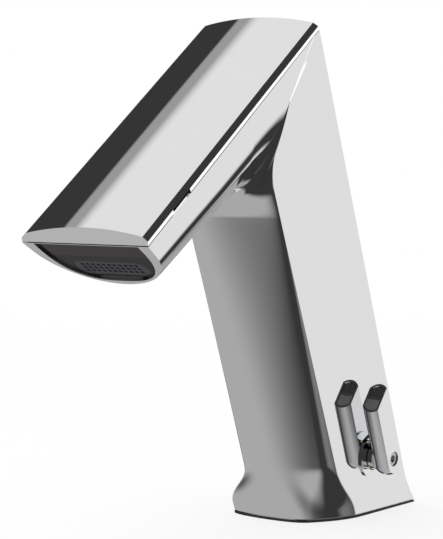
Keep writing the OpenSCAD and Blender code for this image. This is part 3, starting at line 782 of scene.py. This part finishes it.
@dataclass
class Casting:
    """The chrome casting of stem, spout and foot."""

    lines: TapLines = field(default_factory=TapLines)
    arch_n: int = 20
    hull_n: int = 88
    foot_rings: int = 44
    foot_over: float = 2.0
    stem_rings: int = 30
    rise_rings: int = 44
    fall_rings: int = 26
    fall_over: float = 6.0
    spout_shares: tuple[float, ...] = (0.66, 0.33, 0)
    nose_over: float = 10.0
    swell_gain: float = 1.7
    swell_right: float = -0.05
    swell_turn: float = 0.7
    lag: float = 0.33
    sheet_middle: float = 5.0
    sheet_fit: float = 0.05
    sheet_over: float = 1.0
    spout_reach: float = 200.0
    tray_half: float = 17.5
    tray_from: float = 17.0
    tray_short: float = 14.5
    tray_deep: float = 17.5
    tray_over: float = 5.0
    hollow_half: float = 15.0
    hollow_back: float = -8.0
    hollow_front: float = -43.0
    hollow_low: float = 50.0
    hollow_step: float = 142.0
    hollow_lap: float = 1.0
    hollow_upper: float = -34.0
    hollow_top: float = 176.0
    mixer_r: float = 8.0
    mixer_deep: float = 26.0
    mixer_over: float = 3.0
    screw_r: float = 1.55
    screw_deep: float = 9.0

    def ring(self, o: Vector, xo: float, c: Vector, xc: float, k: Vector, swell: float) -> list[Vector]:
        """Works out one ring of the skin: arched back, flat sides, rounded front.

        Args:
            o: the back or top edge's point.
            xo: its half width.
            c: the flat side's inner edge.
            xc: its half width.
            k: the front's foremost point.
            swell: the skirt's swell.

        Returns:
            The ring's points.
        """
        L = self.lines
        out = (o - c).normalized()
        b = 1 / (1 - sind(L.arc_start))
        points = []
        for i in range(self.arch_n + 1):
            s = 1 - 2 * i / self.arch_n
            q = o + L.back_arch * (1 - s * s) * out
            points.append(Vector((-s * xo, q.x, q.y)))
        for i in range(self.hull_n + 1):
            a = L.arc_start + (180 - 2 * L.arc_start) * i / self.hull_n
            q = c + (k - c) * (sind(a) - sind(L.arc_start)) * b
            side = cosd(a) / cosd(L.arc_start)
            right = min(1.0, max(0.0, 0.5 + side * self.swell_turn))
            gain = self.swell_gain + (self.swell_right - self.swell_gain) * right * right * (3 - 2 * right)
            bulge = sind(2 * a) - sind(2 * L.arc_start) * side
            points.append(Vector((xc * side + swell * (gain * (1 - side**4)) * bulge, q.x, q.y)))
        return points

    def stem_ring(self, z: float) -> list[Vector]:
        """Returns the stem's level ring at a height."""
        L = self.lines
        o, c = L.back_at(z), L.edge_at(z)
        return self.ring(o, L.stem_half(o), c, L.stem_half(c), L.keel_at(z), L.skirt_swell * L.foot_share(z))

    def inner_at(self, s: float) -> Vector:
        """Returns the flat side's inner edge between the throat and the crotch.

        Args:
            s: the share of the way, from 0 to 1.

        Returns:
            The point, as (y, z).
        """
        L = self.lines
        start = L.edge_at(L.throat_z)
        if s < L.knee_share:
            return start.lerp(L.knee_lo, s / L.knee_share)
        if s < L.bend_share:
            t = (s - L.knee_share) / (L.bend_share - L.knee_share)
            return L.knee_lo.lerp(L.knee, t).lerp(L.knee.lerp(L.knee_hi, t), t)
        return L.knee_hi.lerp(L.crotch, (s - L.bend_share) / (1 - L.bend_share))

    def rings(self) -> list[list[Vector]]:
        """Returns all the skin's rings from the foot to past the nose."""
        L = self.lines
        made = []
        foot_top = L.foot_h + self.foot_over
        for i in range(self.foot_rings + 1):
            made.append(self.stem_ring(L.base_t + (foot_top - L.base_t) * i / self.foot_rings))
        for i in range(1, self.stem_rings):
            made.append(self.stem_ring(foot_top + (L.throat_z - foot_top) * i / self.stem_rings))
        crotch_half = (L.stem_half(L.crotch) + L.spout_half(L.crotch)) / 2
        low = L.back_at(L.throat_z)
        for i in range(self.rise_rings + 1):
            s = i / self.rise_rings
            t = s * (self.lag + (1 - self.lag) * s)
            c = self.inner_at(t)
            late = max(0.0, (t - L.bend_share) / (1 - L.bend_share))
            xc = L.stem_half(c) * (1 - late) + crotch_half * late
            k = L.throat_at(L.throat_a0 + (L.throat_am - L.throat_a0) * s)
            made.append(self.ring(low.lerp(L.crest, t), L.body_w / 2, c, xc, k, 0))
        fall_u = L.throat_u + self.fall_over
        last = L.spout_pt(fall_u, L.side_v(fall_u))
        for i in range(1, self.fall_rings + 1):
            s = i / self.fall_rings
            c = L.crotch.lerp(last, s)
            xc = crotch_half * (1 - s) + L.spout_half(c) * s
            k = L.throat_at(L.throat_am + (L.throat_a1 - L.throat_am) * s)
            made.append(self.ring(L.crest.lerp(L.spout_pt(fall_u, 0), s), L.body_w / 2, c, xc, k, 0))
        for u in (*(fall_u * share for share in self.spout_shares), -self.nose_over):
            c, k = L.spout_pt(u, L.side_v(u)), L.spout_pt(u, L.keel_v(u))
            made.append(self.ring(L.spout_pt(u, 0), L.body_w / 2, c, L.spout_half(c), k, 0))
        return made

    def skin(self) -> bmesh.types.BMesh:
        """Draws the closed skin by extruding its first ring through the others.

        Returns:
            The skin, its faces marked with their zones.
        """
        rings = self.rings()
        shape = bmesh.new()
        verts = [shape.verts.new(p) for p in rings[0]]
        count = len(verts)
        edges = [shape.edges.new((verts[i], verts[(i + 1) % count])) for i in range(count)]
        shape.faces.new(verts)
        for points in rings[1:]:
            made = bmesh.ops.extrude_edge_only(shape, edges=edges)
            edges = [e for e in made["geom"] if isinstance(e, bmesh.types.BMEdge)]
            fresh = []
            for old in verts:
                ends = (edge.other_vert(old) for edge in old.link_edges)
                fresh.append(next(end for end in ends if end in made["geom"]))
            for vert, point in zip(fresh, points):
                vert.co = point
            verts = fresh
        shape.faces.new(verts)
        shape.faces.ensure_lookup_table()
        self.mark(shape, rings)
        bmesh.ops.recalc_face_normals(shape, faces=shape.faces)
        return shape

    def mark(self, shape: bmesh.types.BMesh, rings: list[list[Vector]]) -> None:
        """Marks each face of the skin with its zone.

        Args:
            shape: the skin.
            rings: its rings.
        """
        shape.verts.index_update()
        count = len(rings[0])
        for face in shape.faces:
            if len(face.verts) > 4:
                face.material_index = Zone.CUT.value
                continue
            spots = sorted({v.index % count for v in face.verts})
            lo, hi = spots[0], spots[-1]
            if (lo, hi) == (0, count - 1):
                zone = Zone.FAR_FLAT
            elif hi <= self.arch_n:
                zone = Zone.BACK
            elif (lo, hi) == (self.arch_n, self.arch_n + 1):
                zone = Zone.FLAT
            else:
                zone = Zone.FRONT
            face.material_index = zone.value

    def foot_sheet(self, sheet: Sheet) -> bpy.types.Object:
        """Makes a sheet under the foot, with the foot's outline and its holes.

        Args:
            sheet: the sheet's sizes.

        Returns:
            The sheet.
        """
        outline = []
        for p in self.stem_ring(self.lines.base_t):
            away = Vector((p.x, p.y - self.sheet_middle))
            away *= 1 - sheet.inset / away.length
            outline.append((away.x, away.y + self.sheet_middle))
        low, high = sheet.z0 - self.sheet_over, sheet.z1 + self.sheet_over
        solid = Solid(sheet.name, plate_shape(Matrix(), outline, sheet.z0, sheet.z1))
        for bore in BORES:
            solid.cut(rod_shape(shift(bore.x, bore.y, 0), bore.r - self.sheet_fit, low, high))
        for x, y in SCREWS:
            solid.cut(rod_shape(shift(x, y, 0), sheet.screw_r, low, high, SCREW_STEPS))
        return solid.settle()

    def build(self) -> bpy.types.Object:
        """Makes the casting with its tray, its hollow stem and its bores.

        Returns:
            The casting.
        """
        L, N, far = self.lines, NOSE, BEYOND
        tray, hollow = self.tray_half, self.hollow_half
        spout, stem, end, mixer = L.spout_frame(), L.stem_frame(), L.end_frame(), L.mixer_frame()
        tray_end = L.spout_len - self.tray_short
        upper_low = self.hollow_step - self.hollow_lap
        slot = obround(N.slot_half + N.slot_fit, N.slot_r + N.slot_fit, 0, N.slot_e)
        tray_lo = (-tray, self.tray_from, -self.tray_deep)
        pocket_hi = (N.pocket_half, N.pocket_low, N.pocket_deep)
        hollow_hi = (hollow, self.hollow_back, self.hollow_step)
        upper_lo = (-hollow, self.hollow_upper, upper_low)
        upper_hi = (hollow, self.hollow_back, self.hollow_top)
        solid = Solid("casting_skin", self.skin())
        solid.cut(box_shape(spout, (-far, -far, -L.seam_drop), (far, self.spout_reach, far)))
        solid.cut(box_shape(end, (-far, -far, -far), (far, far, 0)))
        solid.cut(box_shape(spout, tray_lo, (tray, tray_end, self.tray_over)))
        solid.cut(plate_shape(end, N.outline(N.face_gap), -N.face_over, N.face_deep))
        solid.cut(plate_shape(end, slot, N.slot_from, N.slot_deep + N.slot_fit))
        solid.cut(box_shape(end, (-N.pocket_half, N.pocket_top, N.pocket_from), pocket_hi))
        solid.cut(box_shape(stem, (-hollow, self.hollow_front, self.hollow_low), hollow_hi))
        solid.cut(box_shape(stem, upper_lo, upper_hi))
        solid.cut(rod_shape(mixer, self.mixer_r, -self.mixer_deep, self.mixer_over))
        for bore in BORES:
            solid.cut(rod_shape(shift(bore.x, bore.y, 0), bore.r, 0, bore.deep))
        for x, y in SCREWS:
            solid.cut(rod_shape(shift(x, y, 0), self.screw_r, 0, self.screw_deep, SCREW_STEPS))
        return solid.settle()


@dataclass
class Crown:
    """The lift-off cover on the spout."""

    lines: TapLines = field(default_factory=TapLines)
    arch: float = 2.2
    strip_h: float = 1.5
    seam: float = 0.3
    shoulder_w: float = 1.9
    shoulder_h: float = 1.4
    lip_lean: float = 24.0
    arch_n: int = 64
    arch_share: float = 0.86
    back_low: float = 60.0
    back_high: float = 300.0
    back_steps: int = 720
    blank_over: float = 20.0
    blank_more: float = 50.0
    notch_at: float = 18.0
    notch_len: float = 12.0
    notch_deep: float = 1.2
    notch_drop: float = 5.0
    notch_out: float = 40.0
    well_half: float = 14.5
    well_from: float = 24.0
    well_short: float = 20.0
    well_deep: float = 30.0
    well_top: float = 1.0
    rim_half: float = 17.2
    rim_from: float = 17.3
    rim_short: float = 14.8
    rim_deep: float = 4.8
    rim_wall: float = 1.5
    rim_lap: float = 0.01
    rim_cut: float = 9.0
    smooth: float = 20.0

    def section(self) -> tuple[list[tuple[float, float]], list[Zone]]:
        """Works out the cover's section across the spout.

        Returns:
            Its corners in order, as (x, height), and the zone of the side after each.
        """
        L = self.lines
        half = L.half_at(L.seam_drop)
        top = half - self.shoulder_w
        strip = self.strip_h - L.seam_drop
        rise = strip + self.shoulder_h
        r = (top * top + self.arch * self.arch) / (2 * self.arch)
        low = self.seam - L.seam_drop
        points = [(-half, low), (-half, strip)]
        zones = [Zone.STRIP, Zone.SHOULDER]
        for i in range(self.arch_n + 1):
            x = -top + 2 * top * i / self.arch_n
            points.append((x, rise + self.arch - r + math.sqrt(r * r - x * x)))
            zones.append(Zone.BACK)
        zones[-1] = Zone.FLAT
        points += [(half, strip), (half, low)]
        zones += [Zone.FAR_FLAT, Zone.CUT]
        return points, zones

    def blank(self) -> bmesh.types.BMesh:
        """Draws the long blank that the cover is cut from.

        Returns:
            The blank.
        """
        L = self.lines
        points, zones = self.section()
        shape = bmesh.new()
        face = shape.faces.new([shape.verts.new((x, -self.blank_over, z)) for x, z in points])
        raise_face(shape, face, (0, L.spout_len + self.blank_more, 0))
        sides = {}
        for i, zone in enumerate(zones):
            sides[self.side_key((points[i], points[(i + 1) % len(points)]))] = zone
        for side in shape.faces:
            zone = sides.get(self.side_key((v.co.x, v.co.z) for v in side.verts), Zone.CUT)
            side.material_index = zone.value if len(side.verts) == 4 else Zone.CUT.value
        bmesh.ops.recalc_face_normals(shape, faces=shape.faces)
        bmesh.ops.transform(shape, matrix=L.spout_frame(), verts=shape.verts)
        return shape

    @staticmethod
    def side_key(spots: Iterable[tuple[float, float]]) -> tuple[frozenset[float], frozenset[float]]:
        """Returns the places that a side of the section spans across and up, for matching."""
        across, up = zip(*spots)
        return tuple(frozenset(round(value, MATCH_DIGITS) for value in run) for run in (across, up))

    def build(self) -> bpy.types.Object:
        """Makes the cover, cut by its lip and by the stem's arched back.

        Returns:
            The cover.
        """
        L, far = self.lines, BEYOND
        spout, stem, end_y = L.spout_frame(), L.stem_frame(), L.spout_len
        rise = L.back_arch * self.arch_share
        back_r = (L.body_w**2 / 4 + rise * rise) / (2 * rise)
        back = stem @ shift(0, rise - back_r, 0)
        lip = spout @ shift(0, 0, -L.seam_drop) @ turn_x(-self.lip_lean)
        well, rim = self.well_half, self.rim_half
        inner = rim - self.rim_wall
        notch_lo = (L.half_at(L.seam_drop) - self.notch_deep, self.notch_at, -self.notch_drop)
        notch_hi = (self.notch_out, self.notch_at + self.notch_len, self.strip_h - L.seam_drop)
        rim_hi = (rim, end_y - self.rim_short, self.rim_lap + self.seam - L.seam_drop)
        inner_hi = (inner, end_y - self.rim_short - self.rim_wall, -L.seam_drop)
        solid = Solid("crown_skin", self.blank())
        arc = rod_shape(back, back_r, self.back_low, self.back_high, self.back_steps, Zone.FRONT)
        solid.cut(arc, "INTERSECT")
        solid.cut(box_shape(lip, (-far, -far, -far), (far, 0, far)))
        well_hi = (well, end_y - self.well_short, self.well_top)
        solid.cut(box_shape(spout, (-well, self.well_from, -self.well_deep), well_hi))
        solid.cut(box_shape(spout, notch_lo, notch_hi))
        solid.cut(box_shape(spout, (-rim, self.rim_from, -self.rim_deep), rim_hi), "UNION")
        solid.cut(box_shape(spout, (-inner, self.rim_from + self.rim_wall, -self.rim_cut), inner_hi))
        return solid.settle(self.smooth)


@dataclass
class Lever:
    """The mixing lever: a round bar with two flats, a ball end and a cut tip with two fields."""

    lines: TapLines = field(default_factory=TapLines)
    r: float = 5.2
    length: float = 29.3
    low: float = -1.6
    near: float = 2.6
    far: float = 9.8
    axis: float = 6.6
    slant: float = 31.4
    steps: int = 96
    reach: float = 60.0
    ball_edge: float = 0.01
    neck_r: float = 5.1
    neck_from: float = 1.1
    neck_over: float = 0.5
    screw_r: float = 2.85
    screw_from: float = 7.1
    screw_to: float = 30.0
    screw_steps: int = 48
    rim: float = 0.75
    bar_half: float = 0.45
    field_deep: float = 0.9
    field_down: float = 0.3
    field_fit: float = 0.03
    pocket_over: float = 2.0
    smooth: float = 24.0

    def tip(self) -> Matrix:
        """Returns the frame of the cut tip in the mixer's, with Z out of it and X up it."""
        return shift(self.r, self.length, self.axis) @ turn_z(self.slant) @ turn_x(-90)

    @staticmethod
    def slice(
        shape: bmesh.types.BMesh,
        frame: Matrix,
        spot: tuple[float, float, float],
        away: tuple[float, float, float],
        zone: Zone = Zone.CUT,
    ) -> None:
        """Cuts off one side of a shape by a plane and closes it.

        Args:
            shape: the shape.
            frame: the frame of the plane.
            spot: a point of the plane.
            away: the plane's normal, towards what is cut off.
            zone: the zone of the new face.
        """
        made = bmesh.ops.bisect_plane(
            shape,
            geom=shape.verts[:] + shape.edges[:] + shape.faces[:],
            plane_co=frame @ Vector(spot),
            plane_no=frame.to_3x3() @ Vector(away),
            clear_outer=True,
            dist=TOUCH,
        )
        rim = [e for e in made["geom_cut"] if isinstance(e, bmesh.types.BMEdge)]
        filled = bmesh.ops.edgenet_fill(shape, edges=rim)
        for face in filled["faces"]:
            face.material_index = zone.value
        bmesh.ops.recalc_face_normals(shape, faces=shape.faces)

    def flats(self, shape: bmesh.types.BMesh, cut: float) -> None:
        """Cuts a shape by the bar's two flats.

        Args:
            shape: the shape in the mixer's frame.
            cut: how far the flats are drawn in.
        """
        self.slice(shape, Matrix(), (0, 0, self.far - cut), (0, 0, 1), Zone.FLAT)
        self.slice(shape, Matrix(), (0, 0, self.near + cut), (0, 0, -1), Zone.FLAT)

    def capsule(self) -> bmesh.types.BMesh:
        """Draws the bar and its ball end, with its flats and its cut tip.

        Returns:
            The bar, in the mixer's frame.
        """
        shape = bmesh.new()
        bmesh.ops.create_uvsphere(
            shape, u_segments=self.steps, v_segments=self.steps // 2, radius=self.r, matrix=turn_x(-90)
        )
        ends = [v for v in shape.verts if v.co.y > self.r * self.ball_edge]
        bmesh.ops.translate(shape, vec=(0, self.reach, 0), verts=ends)
        bmesh.ops.translate(shape, vec=(0, self.low, self.axis), verts=shape.verts)
        zoned(shape, Zone.FRONT)
        self.flats(shape, 0)
        self.slice(shape, self.tip(), (0, 0, 0), (0, 0, 1), Zone.RIM)
        return shape

    def field_shape(self, side: int, cut: float, down: float, up: float) -> bmesh.types.BMesh:
        """Draws one field of the tip.

        Args:
            side: 1 for the upper field, -1 for the lower one.
            cut: the clearance all round.
            down: how deep it starts.
            up: how high it ends over the tip's face.

        Returns:
            The field, in the mixer's frame.
        """
        draw = self.rim + cut
        shape = rod_shape(shift(0, 0, self.axis) @ turn_x(-90), self.r - draw, 0, self.reach, self.steps)
        self.flats(shape, draw)
        tip = self.tip()
        self.slice(shape, tip, (0, 0, up), (0, 0, 1))
        self.slice(shape, tip, (0, 0, -down), (0, 0, -1))
        middle = -self.r / cosd(self.slant)
        self.slice(shape, tip, (middle + side * (self.bar_half + cut), 0, 0), (-side, 0, 0))
        return shape

    def field_piece(self, name: str, side: int) -> bpy.types.Object:
        """Makes one inlaid field of the tip.

        Args:
            name: the piece's name.
            side: 1 for the upper field, -1 for the lower one.

        Returns:
            The field.
        """
        shape = self.field_shape(side, self.field_fit, self.field_deep - self.field_fit, -self.field_down)
        bmesh.ops.transform(shape, matrix=self.lines.mixer_frame(), verts=shape.verts)
        return Solid(name, shape).settle()

    def build(self) -> bpy.types.Object:
        """Makes the lever.

        Returns:
            The lever.
        """
        frame = self.lines.mixer_frame()
        shape = self.capsule()
        bmesh.ops.transform(shape, matrix=frame, verts=shape.verts)
        solid = Solid("lever_skin", shape)
        neck_to = self.near + self.neck_over
        neck = rod_shape(frame, self.neck_r, self.neck_from, neck_to, self.steps, Zone.SHOULDER)
        solid.cut(neck, "UNION")
        solid.cut(rod_shape(frame, self.screw_r, self.screw_from, self.screw_to, self.screw_steps))
        for side in (1, -1):
            pocket = self.field_shape(side, 0, self.field_deep, self.pocket_over)
            bmesh.ops.transform(pocket, matrix=frame, verts=pocket.verts)
            solid.cut(pocket)
        return solid.settle(self.smooth)


@dataclass(frozen=True)
class Edge:
    """One straight edge of a soft light, as a plane through the tap."""

    toward: tuple[float, float, float]
    starts: float
    full: float


@dataclass(frozen=True)
class Panel:
    """One soft light that the chrome mirrors, bounded by its edges."""

    name: str
    tone: float
    edges: tuple[Edge, ...]


UP = (0.0, 0.0, 1.0)
DOWN = (0.0, 0.0, -1.0)
LEFT = (-1.0, 0.0, 0.0)
RIGHT = (1.0, 0.0, 0.0)
BACK = (0.0, 1.0, 0.0)

OVERHEAD = Panel(
    "overhead", 0.8, (Edge(UP, 0.7, 0.78), Edge(LEFT, -0.1, 0.16), Edge(BACK, -0.3, -0.1))
)
OVERHEAD_RIM = Panel(
    "overhead_rim", 0.34, (Edge(UP, 0.688, 0.706), Edge(LEFT, -0.1, 0.16), Edge(BACK, -0.3, -0.1))
)
BACKDROP = Panel(
    "backdrop",
    0.785,
    (
        Edge((-0.616, 0.788, 0.0), -0.03, 0.03),
        Edge((0.978, -0.208, 0.0), -0.06, 0.06),
        Edge(DOWN, -0.22, -0.08),
    ),
)
STRIP_LIGHT = Panel(
    "strip_light",
    1.15,
    (
        Edge((-0.819, 0.574, 0.0), -0.02, 0.02),
        Edge((0.891, -0.454, 0.0), -0.02, 0.02),
        Edge(DOWN, -0.12, -0.04),
        Edge(UP, -0.14, -0.1),
    ),
)
UNDERGLOW = Panel(
    "underglow",
    0.42,
    (
        Edge((-0.21, 0.379, -0.901), 0.21, 0.51),
        Edge((0.0, -0.963, 0.27), -0.9, -0.8),
        Edge((-0.5, -0.866, 0.0), -0.42, -0.1),
    ),
)
FRONT_CARD = Panel("front_card", 0.48, (Edge((-0.54, -0.84, -0.05), 0.86, 0.94),))
REAR_CARD = Panel(
    "rear_card", 0.4, (Edge((0.707, 0.707, 0.0), 0.66, 0.86), Edge(UP, 0.15, 0.3), Edge(DOWN, -0.65, -0.5))
)
SIDE_CARD = Panel(
    "side_card", 0.2, (Edge(RIGHT, 0.62, 0.9), Edge(UP, -0.53, -0.42), Edge(DOWN, -0.5, -0.3))
)
STUDIO = (OVERHEAD, OVERHEAD_RIM, BACKDROP, STRIP_LIGHT, UNDERGLOW, FRONT_CARD, REAR_CARD, SIDE_CARD)


@dataclass
class Stage:
    """Floor, world, lamp and camera."""

    eye: tuple[float, float, float] = (361.75, -674.19, 147.65)
    azimuth: float = 31.03
    elevation: float = 4.08
    focal_px: float = 1993.4
    frame_px: float = 443.0
    gloom: float = 0.038
    fill: tuple[float, float, float, float] = (0.82, 0.82, 0.83, 1.0)
    sensor: float = 36.0
    clip: tuple[float, float] = (0.01, 50.0)
    floor_r: float = 3.0
    floor_steps: int = 96
    floor_tone: tuple[float, float, float, float] = (0.86, 0.86, 0.86, 1.0)
    floor_rough: float = 0.9
    fade_from: float = 0.12
    fade_to: float = 0.9
    fade_near: float = 0.8
    lamp_size: float = 1.2
    lamp_power: float = 9.0
    lamp_at: tuple[float, float, float] = (-0.3, -0.5, 1.3)
    lamp_tilt: float = 22.0

    def camera(self) -> None:
        """Sets the camera where the photograph was taken from."""
        data = bpy.data.cameras.new("eye")
        data.sensor_fit = "HORIZONTAL"
        data.sensor_width = self.sensor
        data.lens = self.sensor * self.focal_px / self.frame_px
        data.clip_start, data.clip_end = self.clip
        cam = add_object("eye", data)
        turn = turn_z(self.azimuth) @ turn_x(90 - self.elevation)
        cam.matrix_world = Matrix.Translation([v * MM for v in self.eye]) @ turn
        bpy.context.scene.camera = cam
    def world(self) -> None:
        """Sets a white backdrop and the soft studio that metal mirrors."""
        world = bpy.data.worlds.new("studio")
        bpy.context.scene.world = world
        world.use_nodes = True
        kit = NodeKit(world.node_tree)
        world.node_tree.nodes.clear()
        way = kit.add("ShaderNodeTexCoord").outputs["Generated"]
        path = kit.add("ShaderNodeLightPath").outputs
        total = self.gloom
        for panel in STUDIO:
            tone = self.panel_tone(kit, way, panel)
            total = kit.add("ShaderNodeMath", {0: total, 1: tone}, operation="MAXIMUM").outputs[0]
        mirror, plain, seen = (
            kit.add("ShaderNodeBackground", {"Color": colour}).outputs[0]
            for colour in (total, self.fill, WHITE)
        )
        first = kit.add("ShaderNodeMixShader", {0: path["Is Glossy Ray"], 1: plain, 2: mirror})
        rays = {0: path["Is Camera Ray"], 1: path["Is Transmission Ray"]}
        clear = kit.add("ShaderNodeMath", rays, operation="MAXIMUM")
        second = kit.add("ShaderNodeMixShader", {0: clear.outputs[0], 1: first.outputs[0], 2: seen})
        kit.add("ShaderNodeOutputWorld", {"Surface": second.outputs[0]})

    @staticmethod
    def panel_tone(kit: NodeKit, way: bpy.types.NodeSocket, panel: Panel) -> bpy.types.NodeSocket:
        """Makes the nodes that give a panel's tone in a direction.

        Args:
            kit: the world's nodes.
            way: the direction looked in.
            panel: the panel.

        Returns:
            The tone.
        """
        tone = None
        for edge in panel.edges:
            dot = kit.add("ShaderNodeVectorMath", {0: way, 1: edge.toward}, operation="DOT_PRODUCT")
            span = {
                "Value": dot.outputs["Value"],
                "From Min": edge.starts,
                "From Max": edge.full,
                "To Max": panel.tone if tone is None else 1.0,
            }
            ramp = kit.add("ShaderNodeMapRange", span, interpolation_type="SMOOTHSTEP").outputs[0]
            if tone is None:
                tone = ramp
            else:
                tone = kit.add("ShaderNodeMath", {0: tone, 1: ramp}, operation="MULTIPLY").outputs[0]
        return tone

    def floor(self) -> None:
        """Lays the pale floor under the tap, fading to white far out."""
        shape = bmesh.new()
        bmesh.ops.create_circle(shape, cap_ends=True, segments=self.floor_steps, radius=self.floor_r)
        mesh = bpy.data.meshes.new("floor")
        shape.to_mesh(mesh)
        shape.free()
        floor = add_object("floor", mesh)
        made = bpy.data.materials.new("pale_floor")
        made.use_nodes = True
        kit = NodeKit(made.node_tree)
        shader = made.node_tree.nodes["Principled BSDF"]
        shader.inputs["Base Color"].default_value = self.floor_tone
        shader.inputs["Roughness"].default_value = self.floor_rough
        shader.inputs["Specular IOR Level"].default_value = 0.0
        camera = kit.add("ShaderNodeLightPath").outputs["Is Camera Ray"]
        place = kit.add("ShaderNodeTexCoord").outputs["Object"]
        span = {
            "Value": kit.add("ShaderNodeVectorMath", {0: place}, operation="LENGTH").outputs["Value"],
            "From Min": self.fade_from,
            "From Max": self.fade_to,
            "To Min": self.fade_near,
            "To Max": 1.0,
        }
        fade = kit.add("ShaderNodeMapRange", span, interpolation_type="SMOOTHSTEP")
        share = kit.add("ShaderNodeMath", {0: camera, 1: fade.outputs[0]}, operation="MULTIPLY")
        glow = kit.add("ShaderNodeEmission", {"Color": WHITE})
        mix = kit.add("ShaderNodeMixShader", {0: share.outputs[0], 1: shader.outputs[0], 2: glow.outputs[0]})
        kit.feed(made.node_tree.nodes["Material Output"].inputs["Surface"], mix.outputs[0])
        mesh.materials.append(made)
        floor.visible_glossy = False

    def lamp(self) -> None:
        """Hangs a broad soft lamp over the tap."""
        data = bpy.data.lights.new("soft_lamp", "AREA")
        data.shape = "DISK"
        data.size = self.lamp_size
        data.energy = self.lamp_power
        lamp = add_object("soft_lamp", data)
        lamp.matrix_world = Matrix.Translation(self.lamp_at) @ turn_x(self.lamp_tilt)
        lamp.visible_glossy = False


@dataclass
class Tap:
    """The whole tap: its remade pieces and the frame's own."""

    lines: TapLines = field(default_factory=TapLines)

    def dress_nodes(self, nodes: dict[str, bpy.types.Object]) -> None:
        """Gives each of the frame's pieces its finish.

        Args:
            nodes: the frame's pieces by name.
        """
        for name, obj in nodes.items():
            finish = NODE_FINISH[name]
            if not obj.material_slots:
                obj.data.materials.append(finish.material())
            for slot in obj.material_slots:
                slot.material = finish.material()

    def place(self, obj: bpy.types.Object, finish: Finish, body: str, *nodes: str) -> None:
        """Dresses a remade piece, hangs it on its body and hides the frame's pieces that it replaces.

        Args:
            obj: the piece.
            finish: its finish.
            body: the body it moves with.
            nodes: the frame's pieces that it replaces.
        """
        obj.data.materials.clear()
        obj.data.materials.append(finish.material())
        if any(face.material_index for face in obj.data.polygons):
            obj.data.materials.append(SATIN.material())
        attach(obj, body)
        if nodes:
            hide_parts(*nodes)
        LOG.info("%s: %d faces", obj.name, len(obj.data.polygons))

    def build(self) -> None:
        """Makes and places the remade pieces."""
        casting = Casting(self.lines)
        self.place(casting.build(), CHROME, "casting", "body")
        self.place(casting.foot_sheet(PLATE), STEEL, "casting", "base_plate")
        self.place(casting.foot_sheet(GASKET), RUBBER, "casting", "base_gasket")
        self.place(Crown(self.lines).build(), CHROME, "cover", "crown")
        lever = Lever(self.lines)
        self.place(lever.build(), CHROME, "lever", "mixer_lever")
        self.place(lever.field_piece("upper_field", 1), INSET_DARK, "lever", "hot_inset")
        self.place(lever.field_piece("lower_field", -1), INSET_MID, "lever", "cold_inset")


def main() -> None:
    """Builds the scene in order."""
    logging.basicConfig(level=logging.INFO, format="%(message)s")
    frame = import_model()
    stage = Stage()
    stage.camera()
    stage.world()
    stage.floor()
    stage.lamp()
    tap = Tap()
    tap.dress_nodes(frame["nodes"])
    tap.build()
    bpy.context.scene.view_settings.view_transform = "Standard"


if __name__ == "__main__":
    main()
